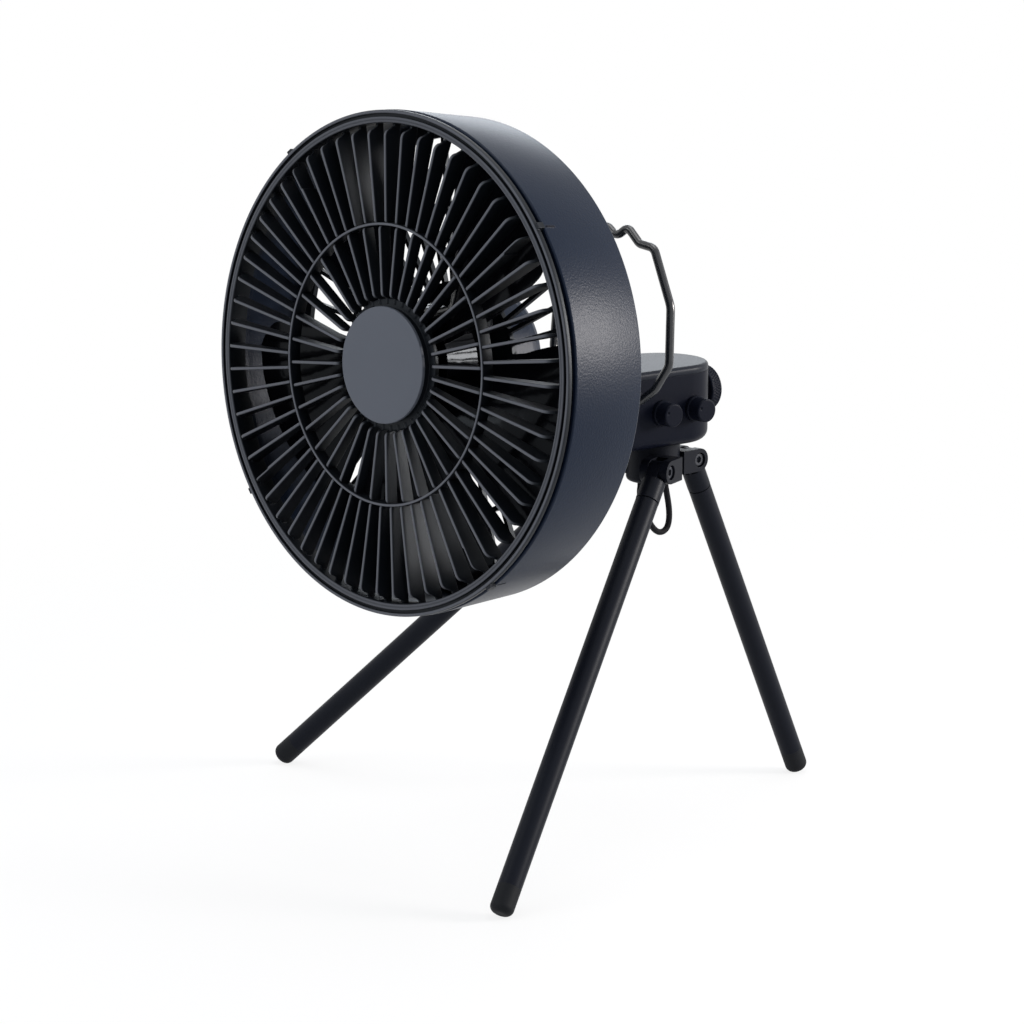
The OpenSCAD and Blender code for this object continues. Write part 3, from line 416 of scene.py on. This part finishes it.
def repeat_round(pts, faces, turns):
    """Copies of a piece turned about the z axis, joined in one list of points and faces."""
    all_pts, all_faces, n = [], [], len(pts)
    for i, a in enumerate(np.radians(turns)):
        c, s = math.cos(a), math.sin(a)
        turn = np.array([[c, s, 0], [-s, c, 0], [0, 0, 1]])
        all_pts.append(pts @ turn)
        all_faces += [[q + i * n for q in f] for f in faces]
    return np.concatenate(all_pts), all_faces


def join(*parts):
    """One list of points and faces from several."""
    pts, faces, n = [], [], 0
    for p, f in parts:
        pts.append(p)
        faces += [[q + n for q in face] for face in f]
        n += len(p)
    return np.concatenate(pts), faces


# ---- Head ----

# Millimetres in the head's own frame: z is 0 at the ring's face, and the drum is behind it.
RING_IN, RING_OUT, SPIGOT = 113.8, 119.9, 117.7
DRUM_R, DRUM_TAPER, DRUM_DEPTH = 120.5, 3.9, 52.6
QUARTERS = [38, 128, 218, 308]                 # degrees; the drum's marks and the lock tabs
MARK_ALONG, MARK_ACROSS = 12, 8                # faces of a mark
MARK_FACES = 2 * MARK_ALONG * MARK_ACROSS + 2 * (MARK_ALONG + MARK_ACROSS)
MARK_FROM, MARK_LENGTH, MARK_HALF, MARK_RISE = -6.5, 7.0, 0.75, 0.35
MARK_RAMP = 0.12                               # share of its length, at each end
MARK_ROOT = 1.2                                # how far it goes into the wall

OUTER_FINS, INNER_FINS, STEPPED_FINS = 60, 36, [6, 21, 36, 51]
FIN_W, FIN_EDGE, STEP_R = 1.55, 107.8, 99.0
MID_R, MID_W, CUP_R = 66.6, 1.3, 31.4
FIN_BACK = -4.8

BLADE_ROOT, BLADE_TIP, BLADE_Z = 28.05, 108.0, -24.0
BLADE_TURN, BLADE_HALF, BLADE_SWEEP = 50.0, 25.0, 7.0    # degrees
BLADE_FALL, BLADE_CAMBER, BLADE_THICK = 20.0, 2.5, 0.9
BLADE_ALONG, BLADE_ACROSS = 40, 26             # points of a blade


def raised_mark():
    """A low ridge along the drum: its height is a cosine across it, and runs up from nothing
    at both ends. A copy of it further in, walled round, closes it inside the drum's wall."""
    u = np.linspace(0, 1, MARK_ALONG + 1)
    v = np.linspace(-1, 1, MARK_ACROSS + 1)
    z = MARK_FROM - MARK_LENGTH * u
    ramp = np.clip(np.minimum(u, 1 - u) / MARK_RAMP, 0, 1)
    rise = MARK_RISE * ramp[:, None] * np.cos(v * np.pi / 2)[None, :]
    r = (DRUM_R + DRUM_TAPER * z / DRUM_DEPTH)[:, None] - 0.1 + rise
    y = MARK_HALF * np.broadcast_to(v[None, :], r.shape)
    mark = np.stack([r, y, np.broadcast_to(z[:, None], r.shape)], -1).reshape(-1, 3)
    row, n = MARK_ACROSS + 1, len(mark)
    i, k = np.meshgrid(np.arange(MARK_ALONG), np.arange(MARK_ACROSS), indexing="ij")
    a = i * row + k
    top = np.stack([a, a + 1, a + 1 + row, a + row], -1).reshape(-1, 4)[:, ::-1].tolist()
    bottom = [[q + n for q in f[::-1]] for f in top]
    edge = [(0, q) for q in range(row)] + [(q, MARK_ACROSS) for q in range(1, MARK_ALONG + 1)]
    edge += [(MARK_ALONG, q) for q in range(MARK_ACROSS - 1, -1, -1)]
    edge += [(q, 0) for q in range(MARK_ALONG - 1, 0, -1)]
    loop = [p * row + q for p, q in edge]
    walls = [[p, q, q + n, p + n] for p, q in zip(loop, loop[1:] + loop[:1])]
    return np.concatenate([mark, mark - (MARK_ROOT, 0, 0)]), top + bottom + walls


def drum():
    """Tapered drum: one closed outline with a rolled front lip and back edge, and the marks."""
    outline = [[SPIGOT, -5.0], [120.13, -5.0], [116.6, -52.6], [110.0, -52.6], [110.0, -50.2],
               [114.1, -50.2], [116.6, -14.0], [115.1, -14.0], [115.1, -11.0], [SPIGOT, -11.0]]
    prof = round_corners(outline, [0.3, 0.9, 1.4, 0.5, 0.3, 0, 0, 0, 0, 0.2], 6)
    return join(lathe(prof, 256), repeat_round(*raised_mark(), QUARTERS))


def grille():
    """Grille: stepped ring, outer fins bent back at their ends, thin ring, inner fins, cup."""
    ring_outline = [[RING_IN, -0.2], [RING_IN + 1.4, -0.2], [RING_IN + 1.5, -0.45],
                    [RING_IN + 1.6, -0.2], [116.8, -0.2], [116.8, -1.8], [118.3, -1.8],
                    [118.3, -0.1], [RING_OUT, -0.1], [RING_OUT, -2.6], [SPIGOT - 0.05, -2.6],
                    [SPIGOT - 0.05, -11.0], [RING_IN, -11.0]]
    ring_radii = [0.7, 0, 0, 0, 0.45, 0, 0, 0.4, 0.5, 0.3, 0, 0.2, 0.2]
    ring = lathe(round_corners(ring_outline, ring_radii, 4), 240)
    # Outer fin: a quarter round up from the thin ring, a slow rise outwards, then a quarter
    # round back to the ring.
    bend = np.radians([0, 22, 45, 67, 90])
    start, up, out = MID_R + 0.45, 1.5, 3.2
    r = np.array([80.0, 94.0, 98.4, 99.2, FIN_EDGE])
    front_r = np.concatenate([start + up * (1 - np.cos(bend)), r, FIN_EDGE + out * np.sin(bend[1:]),
                              [112.3, RING_IN + 0.8]])
    rise = 1.75 + (r - MID_R) / 42 * 1.5
    front_z = np.concatenate([1.8 - up * (1 - np.sin(bend)), rise,
                              rise[-1] - out * (1 - np.cos(bend[1:])), [-2.4, -3.0]])
    back_r = np.concatenate([front_r[:len(bend) + len(r)], FIN_EDGE + 2.6 * np.sin(bend[1:]),
                             [112.6, RING_IN + 0.8]])
    back_z = np.interp(back_r, [MID_R, RING_IN + 0.8], [FIN_BACK, -6.4])
    front, back = np.stack([front_r, front_z], 1), np.stack([back_r, back_z], 1)
    plain = fin_surface(front, back, FIN_W)
    stepped = fin_surface(front, back, FIN_W, shift=np.where(front_r > STEP_R, 0.4, 0.0),
                          thin=np.where(front_r > STEP_R, 0.6, 1.0))
    number = np.arange(OUTER_FINS)
    turns = 1.7 + 360.0 / OUTER_FINS * number
    odd = np.isin(number, STEPPED_FINS)
    outer = join(repeat_round(*plain, turns[~odd]), repeat_round(*stepped, turns[odd]))
    # Inner fin: a low foot on the cup, a quarter round up, and a quarter round back.
    foot, up, out = CUP_R + 0.5, 2.3, 2.0
    end = MID_R - MID_W / 2 - out
    r = np.concatenate([[29.0, foot - 0.3], foot + up * (1 - np.cos(bend)), [50.0],
                        end + out * np.sin(bend), [MID_R - MID_W / 2 + 0.1]])
    z = np.concatenate([[-2.0, -1.9], 1.3 - up * (1 - np.sin(bend)), [1.5],
                        1.7 - out * (1 - np.cos(bend)), [-0.5]])
    back = np.stack([r, np.full(len(r), FIN_BACK)], 1)
    inner = repeat_round(*fin_surface(np.stack([r, z], 1), back, FIN_W),
                         5.4 + 360.0 / INNER_FINS * np.arange(INNER_FINS))
    half = MID_W / 2
    mid = lathe(round_corners([[MID_R - half, 1.9], [MID_R + half, 1.9], [MID_R + half, -5.0],
                               [MID_R - half, -5.0]], [0.4, 0.4, 0.2, 0.2], 4), 200)
    cup_outline = [[0.0, 0.6], [27.4, 0.6], [27.4, -2.5], [CUP_R, -2.5], [CUP_R, -5.0],
                   [29.0, -5.0], [29.0, -3.6], [0.0, -3.6]]
    cup = lathe(round_corners(cup_outline, [0, 0.2, 0.2, 0.4, 0.3, 0.2, 0.3, 0], 4), 120)
    # Lock tabs on the flange's edge.
    tab = np.array([[x, y, z] for x in (118.6, 121.3) for y in (-1.5, 1.5) for z in (-4.6, -0.7)])
    quads = [[0, 1, 3, 2], [4, 6, 7, 5], [0, 4, 5, 1], [2, 3, 7, 6], [0, 2, 6, 4], [1, 5, 7, 3]]
    tabs = repeat_round(tab, quads, QUARTERS)
    return join(ring, outer, inner, mid, cup, tabs)


def badge():
    """Plain disc with a rolled edge and a faint crown."""
    r, top, roll = 27.8, 2.3, 0.35
    t = np.radians(np.arange(0, 91, 15))
    edge = np.stack([r - roll + roll * np.cos(t), top - roll + roll * np.sin(t)], 1)
    crown = [[20.0, top + 0.02], [0.0, top + 0.05]]
    return lathe(np.concatenate([[[0.0, 0.6], [r, 0.6]], edge, crown]), 128)


def blades():
    """Five blades: radius along u, turn about the axis along v. The height falls straight
    from v = 0 to v = 1, less so towards the tip, and a sine of v gives the camber; a sine of u
    sweeps the blade round, another widens its middle, and a clipped square of u narrows its
    tip. It thins towards both its long edges."""
    u = np.linspace(0, 1, BLADE_ALONG)[:, None]
    v = np.linspace(0, 1, BLADE_ACROSS)[None, :]
    r = BLADE_ROOT + (BLADE_TIP - BLADE_ROOT) * u
    edge = np.clip((u - 0.85) / 0.15, 0, 1)
    half = BLADE_HALF * (1 + 0.12 * np.sin(np.pi * u)) * (1 - 0.24 * edge**2)
    turn = np.radians(BLADE_TURN + BLADE_SWEEP * np.sin(np.pi / 2 * u) + half * (2 * v - 1))
    z = BLADE_Z + BLADE_FALL * (0.5 - v) * (1 - 0.25 * u) + BLADE_CAMBER * np.sin(np.pi * v)
    thick = BLADE_THICK * np.minimum(1.0, 0.25 + 4.0 * np.minimum(v, 1 - v)) + 0 * u
    x, y = r * np.cos(turn), r * np.sin(turn)
    top = np.stack([x, y, z + thick], -1)
    low = np.stack([x, y, z - thick], -1)[:, ::-1]
    loops = np.concatenate([top, low], 1)
    faces = [face[::-1] for face in tube_faces(BLADE_ALONG, 2 * BLADE_ACROSS)]
    return repeat_round(loops.reshape(-1, 3), faces, 72.0 * np.arange(5))


def mark_painted_front_light(piece):
    """Keep on each point its share of the painted highlight on surfaces that face the front: the
    part of its normal along the head's axis, squared, fading to nothing where it is 1 mm behind the
    ring's face."""
    axis = np.array([0.0, -math.cos(HEAD_TILT), math.sin(HEAD_TILT)])
    normals = np.empty(3 * len(piece.data.vertices))
    points = normals.copy()
    piece.data.vertex_normals.foreach_get("vector", normals)
    piece.data.vertices.foreach_get("co", points)
    height = (points.reshape(-1, 3) / MM + ORIGIN - from_head([0.0, 0.0, 0.0])) @ axis
    share = np.clip(normals.reshape(-1, 3) @ axis, 0, 1)**2 * np.clip(1.0 + height, 0, 1)
    piece.data.attributes.new("front", "FLOAT", "POINT").data.foreach_set("value", share)


def head_piece(name, shape, finish, body, nodes, angle=40.0):
    """A piece made in the head's own frame, in place of the CAD nodes named."""
    pts, faces = shape
    piece = add_mesh(name, from_head(pts), faces, finish, body, angle)
    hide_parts(*nodes)
    return piece


drum_piece = head_piece("drum_wall", drum(), drum_finish, "head", ["drum_shell"])
# The marks take the black finish: painted shade, dark like a shadowed seam at each mark instead of
# a ridge that catches the light.
drum_piece.data.materials.append(black_finish)
slots = np.zeros(len(drum_piece.data.polygons), int)
slots[-len(QUARTERS) * MARK_FACES:] = 1
drum_piece.data.polygons.foreach_set("material_index", slots)
# The grille's points carry the mask of its painted front highlight.
mark_painted_front_light(head_piece("grille_fins", grille(), grille_finish, "head", ["front_grille"]))
head_piece("badge_disc", badge(), badge_finish, "head", ["grille_badge"])
head_piece("fan_blades", blades(), blade_finish, "rotor", ["rotor_blades"], 60.0)


# ---- Housing ----

# Millimetres from the stand's axis and above the floor.
BASE_Z, LID_Z, TOP_Z = 200.6, 237.4, 241.4
BACK_R, BACK_Y, FRONT_Y = 24.5, 5.2, -56.0
TAPER = math.radians(7.0)
CORNER_R, WALL = 6.0, 2.4
EAR_X, KNUCKLE_X, EAR_R = 17.2, 12.3, 11.0
BACK_POINTS = 97                               # along the arc round the back
PORT_Y, PORT_Z = -5.0, 222.0
PORT_HALF, PORT_LOW, PORT_HIGH = 4.6, PORT_Z - 1.75, PORT_Z + 1.75
KNOB_Z, DIAL_Z = 219.4, 223.0
BAIL_Y, BAIL_Z, BAIL_LEAN = -34.0, 227.5, math.radians(3.8)
BOSS_X, PIN_BORE = 20.77, 3.02


def side_x(r, y):
    """Half width at y of a side that lies r from the back's centre and runs in to the front."""
    return (r + math.sin(TAPER) * (y - BACK_Y)) / math.cos(TAPER)


def housing_outline(inset):
    """Plan outline of the housing, smaller by inset, counter-clockwise: an arc round the
    back, the left side with two stations at the socket, and the two front corners."""
    corner_y = FRONT_Y + CORNER_R
    corner_x = side_x(BACK_R - CORNER_R, corner_y)
    back = np.linspace(-TAPER, np.pi + TAPER, BACK_POINTS)
    arc = np.stack([np.cos(back), np.sin(back)], 1) * (BACK_R - inset) + (0, BACK_Y)
    out = np.array([-math.cos(TAPER), -math.sin(TAPER)])
    way = np.array([-math.sin(TAPER), math.cos(TAPER)])
    socket = [out * (BACK_R - inset) + way * y + (0, BACK_Y)
              for y in (PORT_Y + PORT_HALF, PORT_Y - PORT_HALF)]
    low = np.linspace(np.pi + TAPER, 1.5 * np.pi, 17)
    ring = np.stack([np.cos(low), np.sin(low)], 1) * (CORNER_R - inset)
    left = ring + (-corner_x, corner_y)
    right = (ring * (-1, 1))[::-1] + (corner_x, corner_y)
    return np.concatenate([arc, socket, left, right])


def stacked(levels, outline):
    """Outlines stacked into a closed solid: levels are (inset, height) in order."""
    rings = [np.column_stack([outline(g), np.full(len(outline(g)), z)]) for g, z in levels]
    return np.concatenate(rings), tube_faces(len(rings), len(rings[0]))


def quarter(radius, steps=8):
    """Insets and heights of a quarter round, from its flat end up to its upright end."""
    t = np.radians(np.linspace(0, 90, steps))
    return [(radius * (1 - math.sin(a)), radius * (1 - math.cos(a))) for a in t]


def turned(shape, place, axis):
    """A lathe-turned shape whose z axis is laid along axis, at place."""
    pts, faces = shape
    w = np.asarray(axis, float) / np.linalg.norm(axis)
    u = np.cross((0, 0, 1) if abs(w[2]) < 0.9 else (1, 0, 0), w)
    u /= np.linalg.norm(u)
    return pts @ np.stack([u, np.cross(w, u), w]) + np.asarray(place, float), faces


def pierced(outline, hole, x0, x1, edge):
    """A plate along x with a hole: at each point of its outline a loop runs out from the
    hole, over the rim with both edges rounded, and back in to the hole."""
    way = outline - hole
    way /= np.linalg.norm(way, axis=1)[:, None]
    low = [(g, x0 + h) for g, h in quarter(edge, 5)]
    high = [(g, x1 - h) for g, h in quarter(edge, 5)][::-1]
    rim = [np.column_stack([np.full(len(way), x), outline - g * way]) for g, x in low + high]
    inner = [np.column_stack([np.full(len(way), x), hole]) for x in (x0, x1)]
    loops = np.stack([inner[0]] + rim + [inner[1]], 1)
    faces = tube_faces(len(way), loops.shape[1], closed=True)
    return loops.reshape(-1, 3), [f[::-1] for f in faces]


def housing_shell():
    """Open housing: up the outside from a rounded bottom, over the rim and down the inside;
    one panel of the left side is opened through both walls for the socket."""
    levels = [(g, BASE_Z + h) for g, h in quarter(5.4)]
    levels += [(0, PORT_LOW), (0, PORT_HIGH), (0, LID_Z - 0.16), (0.14, LID_Z), (WALL, LID_Z),
               (WALL, PORT_HIGH), (WALL, PORT_LOW), (WALL, BASE_Z + WALL)]
    pts, faces = stacked(levels, housing_outline)
    n, first, last = len(pts) // len(levels), BACK_POINTS, BACK_POINTS + 1
    corners = [(PORT_LOW, first), (PORT_LOW, last), (PORT_HIGH, last), (PORT_HIGH, first)]
    outer = [levels.index((0, z)) * n + k for z, k in corners]
    inner = [levels.index((WALL, z)) * n + k for z, k in corners]
    gone = [set(outer), set(inner)]
    faces = [f for f in faces if len(f) > 4 or set(f) not in gone]
    faces += [[outer[k - 1], outer[k], inner[k], inner[k - 1]] for k in (1, 2, 3, 0)]
    return pts, faces


def housing_ear(side):
    """Ear beside the neck's knuckle: a round end, then level edges back to the housing."""
    y0, z0 = PIVOT[1], PIVOT[2]
    t = np.radians(np.linspace(90, 270, 49))
    end = np.stack([y0 + EAR_R * np.cos(t), z0 + EAR_R * np.sin(t)], 1)
    lower = np.stack([np.linspace(-64.0, -51.5, 6), np.full(6, z0 - EAR_R)], 1)
    rest = [[-51.5, 224.0], [-51.5, 230.0], [-51.5, LID_Z - 0.05], [-56.0, LID_Z - 0.05],
            [-56.0, z0 + EAR_R], [-60.0, z0 + EAR_R], [-64.0, z0 + EAR_R]]
    outline = np.concatenate([end, lower, rest])
    way = outline - (y0, z0)
    hole = (y0, z0) + PIN_BORE * way / np.linalg.norm(way, axis=1)[:, None]
    x0, x1 = (KNUCKLE_X, EAR_X) if side > 0 else (-EAR_X, -KNUCKLE_X)
    return pierced(outline, hole, x0, x1, 0.6)


def boss(radius, bore, height, edge):
    """A round seat with a bore, its outer edge rounded; its outer face is at z = 0."""
    outline = [[bore, -height], [radius, -height], [radius, 0.0], [bore, 0.0]]
    return lathe(round_corners(outline, [0, 0, edge, 0.2], 5), 72)


def housing_lid():
    """Lid: a fine parting line below, and a larger round along its top edge."""
    levels = [(0.14, LID_Z + 0.03), (0.04, LID_Z + 0.06), (0, LID_Z + 0.16)]
    levels += [(g, TOP_Z - h) for g, h in quarter(2.2, 10)[::-1]]
    return stacked(levels, housing_outline)


DIAL_SEAT = BACK_Y + BACK_R + 2.0
housing_parts = [housing_shell(), housing_ear(1), housing_ear(-1),
                 turned(boss(10.0, 3.1, 7.0, 0.6), (0, DIAL_SEAT, DIAL_Z), (0, 1, 0))]
for side in (1, -1):
    seat = (side * BOSS_X, BAIL_Y, BAIL_Z)
    housing_parts.append(turned(boss(4.6, 2.26, 4.0, 0.4), seat, (side, 0, 0)))
housing = add_mesh("housing_shell", *join(*housing_parts), black_finish, "housing", 35.0)
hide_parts("housing_body")
lid = add_mesh("housing_cover", *housing_lid(), lid_finish, "housing", 35.0)
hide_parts("housing_lid")


# ---- Knobs and dial ----

KNOB_FACE, FACE_RINGS = 9.2, 27
DIP_AT, DIP_R, DIP_DEPTH = (-3.8, 1.6), 0.62, 0.55
DIAL_SIDES, DIAL_R = 288, 12.3
KNURL_TEETH, KNURL_SLANT, KNURL_DEPTH = 48, 14, 0.35


def knob():
    """Knob on its shaft: a collar, a body with a rolled edge, and a face with a small round
    dip. The dip falls off as e to the power of minus the fourth power of the distance from
    its middle, counted in DIP_R."""
    outline = [[0.0, -5.3], [3.0, -5.3], [3.0, 0.0], [6.7, 0.0], [6.7, 1.5], [6.1, 1.9],
               [6.05, KNOB_FACE], [0.0, KNOB_FACE]]
    prof = round_corners(outline, [0, 0.3, 0, 0.3, 0.4, 0.2, 0.8, 0], 6)[:-1]
    across = np.linspace(5.1, 0.0, FACE_RINGS)
    prof = np.concatenate([prof, np.stack([across, np.full(FACE_RINGS, KNOB_FACE)], 1)])
    pts, faces = lathe(prof, 128)
    off = np.hypot(pts[:, 0] - DIP_AT[0], pts[:, 1] - DIP_AT[1])
    dip = DIP_DEPTH * np.exp(-(off / DIP_R)**4)
    pts[:, 2] -= np.where(pts[:, 2] > KNOB_FACE - 0.01, dip, 0.0)
    return pts, faces


def dial():
    """Knurled dial: two families of slanted waves cross on the rim and fade at its edges."""
    turn = np.linspace(0, 2 * np.pi, DIAL_SIDES, endpoint=False)[:, None]
    s = np.linspace(0, 1, 25)[None, :]
    cut = (np.maximum(np.cos(KNURL_TEETH * turn + KNURL_SLANT * s), 0)**3
           + np.maximum(np.cos(KNURL_TEETH * turn - KNURL_SLANT * s), 0)**3)
    r = DIAL_R - KNURL_DEPTH * np.clip(cut, 0, 1) * np.clip(6 * np.minimum(s, 1 - s), 0, 1)
    z = 0.8 + 6.3 * s + 0 * turn
    rim = np.stack([r * np.cos(turn), r * np.sin(turn), z], -1)

    def bands(outline):
        """The plain surfaces: an outline of (radius, z) at each of the rim's turns."""
        rr, zz = np.array(outline).T
        zz = np.broadcast_to(zz, (DIAL_SIDES, len(zz)))
        return np.stack([rr * np.cos(turn), rr * np.sin(turn), zz], -1)

    back = bands([[0.0, -9.0], [3.0, -9.0], [3.0, 0.0], [11.2, 0.0], [11.9, 0.3]])
    face = bands([[12.05, 7.4], [11.7, 7.75], [11.2, 7.88], [10.7, 7.7], [10.4, 7.5], [4.0, 7.5],
                  [0.0, 7.5]])
    loops = np.concatenate([back, rim, face], 1)
    faces = tube_faces(DIAL_SIDES, loops.shape[1], closed=True)
    return loops.reshape(-1, 3), [f[::-1] for f in faces]


side_out = np.array([math.cos(TAPER), -math.sin(TAPER), 0.0])
side_back = np.array([math.sin(TAPER), math.cos(TAPER), 0.0])
for name, node, along in (("speed_cap", "speed_knob", -19.8), ("light_cap", "light_knob", 2.2)):
    seat = side_out * (BACK_R + 0.3) + side_back * along + (0.0, BACK_Y, KNOB_Z)
    piece = add_mesh(name, *turned(knob(), seat, side_out), black_finish, node, 35.0)
    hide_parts(node)
wheel = add_mesh("dial_wheel", *turned(dial(), (0, DIAL_SEAT + 0.3, DIAL_Z), (0, 1, 0)),
                 black_finish, "rear_dial", 50.0)
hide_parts("rear_dial")


# ---- Bail and cord loop ----

# Half of the wire's route and the radius of the bend at each of its points; x and height.
BAIL_HALF = [(BOSS_X - 4.0, 0.0), (BOSS_X + 1.2, 0.0), (31.6, 7.2), (40.1, 20.2), (39.0, 49.6),
             (25.8, 77.6), (15.8, 78.9), (7.4, 86.4), (0.0, 81.1)]
BAIL_BENDS = [0, 2, 8, 7, 12, 5, 5, 3.4, 5]
WIRE_R, CORD_R = 2.2, 1.6
HUB_Z = 179.2                                  # underside of the stand's hub
# The cord's route: y, and how far below the hub.
CORD_ROUTE = [(-9.4, 2), (-9.8, 5), (-9.2, 9), (-7, 14), (-3, 21), (1, 26), (5, 28.5), (9, 28.5),
              (11.8, 26.3), (12.9, 22), (12.6, 16.5), (11.3, 10.5), (9.9, 5), (9.4, 2)]


def bent_path(points, bends, steps):
    """Straight runs joined by arcs of the given radii, each arc touching both runs."""
    p = np.asarray(points, float)
    out = [p[:1]]
    for a, b, c, r in zip(p[:-2], p[1:-1], p[2:], bends[1:-1]):
        u, v = (b - a) / np.linalg.norm(b - a), (c - b) / np.linalg.norm(c - b)
        turn = math.acos(np.clip(u @ v, -1, 1))
        side = np.sign(u[0] * v[1] - u[1] * v[0])
        start = b - u * r * math.tan(turn / 2)
        centre = start + side * r * np.array([-u[1], u[0]])
        first = math.atan2(*(start - centre)[::-1])
        t = first + side * turn * np.linspace(0, 1, steps)
        out.append(centre + r * np.stack([np.cos(t), np.sin(t)], 1))
    out.append(p[-1:])
    return np.concatenate(out)


def smooth_path(points, steps):
    """Catmull-Rom curve: each span is the cubic through two points, its slope at each
    point half the step between that point's neighbours."""
    p = np.array(points, float)
    n = len(p) - 1
    s = np.linspace(0.0, n, steps + 1)
    i = np.minimum(s.astype(int), n - 1)
    t = (s - i)[:, None]
    a, b = p[np.maximum(i - 1, 0)], p[i]
    c, d = p[i + 1], p[np.minimum(i + 2, n)]
    return 0.5 * (2 * b + t * (c - a) + t**2 * (2 * a - 5 * b + 4 * c - d)
                  + t**3 * (3 * b - a - 3 * c + d))


def tube(path, radius, sides, flat):
    """Circles of the given radius round a path that lies in one plane; flat is its normal."""
    path = np.asarray(path, float)
    way = np.gradient(path, axis=0)
    way /= np.linalg.norm(way, axis=1)[:, None]
    flat = np.asarray(flat, float)
    side = np.cross(flat, way)
    turn = np.linspace(0, 2 * np.pi, sides, endpoint=False)
    rings = (path[:, None, :] + radius * (np.cos(turn)[None, :, None] * side[:, None, :]
             + np.sin(turn)[None, :, None] * flat[None, None, :]))
    return rings.reshape(-1, 3), tube_faces(len(path), sides)


wire = bent_path(BAIL_HALF + [(-x, h) for x, h in BAIL_HALF[-2::-1]],
                 BAIL_BENDS + BAIL_BENDS[-2::-1], 9)
up, back = math.cos(BAIL_LEAN), math.sin(BAIL_LEAN)
wire = np.stack([wire[:, 0], BAIL_Y + wire[:, 1] * back, BAIL_Z + wire[:, 1] * up], 1)
bail = add_mesh("bail_wire", *tube(wire, WIRE_R, 24, (0, up, -back)), wire_finish, "bail", 60.0)
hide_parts("bail")

cord_path = smooth_path([(0.0, y, HUB_Z - d) for y, d in CORD_ROUTE], 60)
cord_path = np.concatenate([[(0.0, CORD_ROUTE[0][0], HUB_Z)], cord_path,
                            [(0.0, CORD_ROUTE[-1][0], HUB_Z)]])
cord = add_mesh("cord_braid", *tube(cord_path, CORD_R, 16, (1, 0, 0)), cord_finish, "stand")
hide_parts("cord_loop")
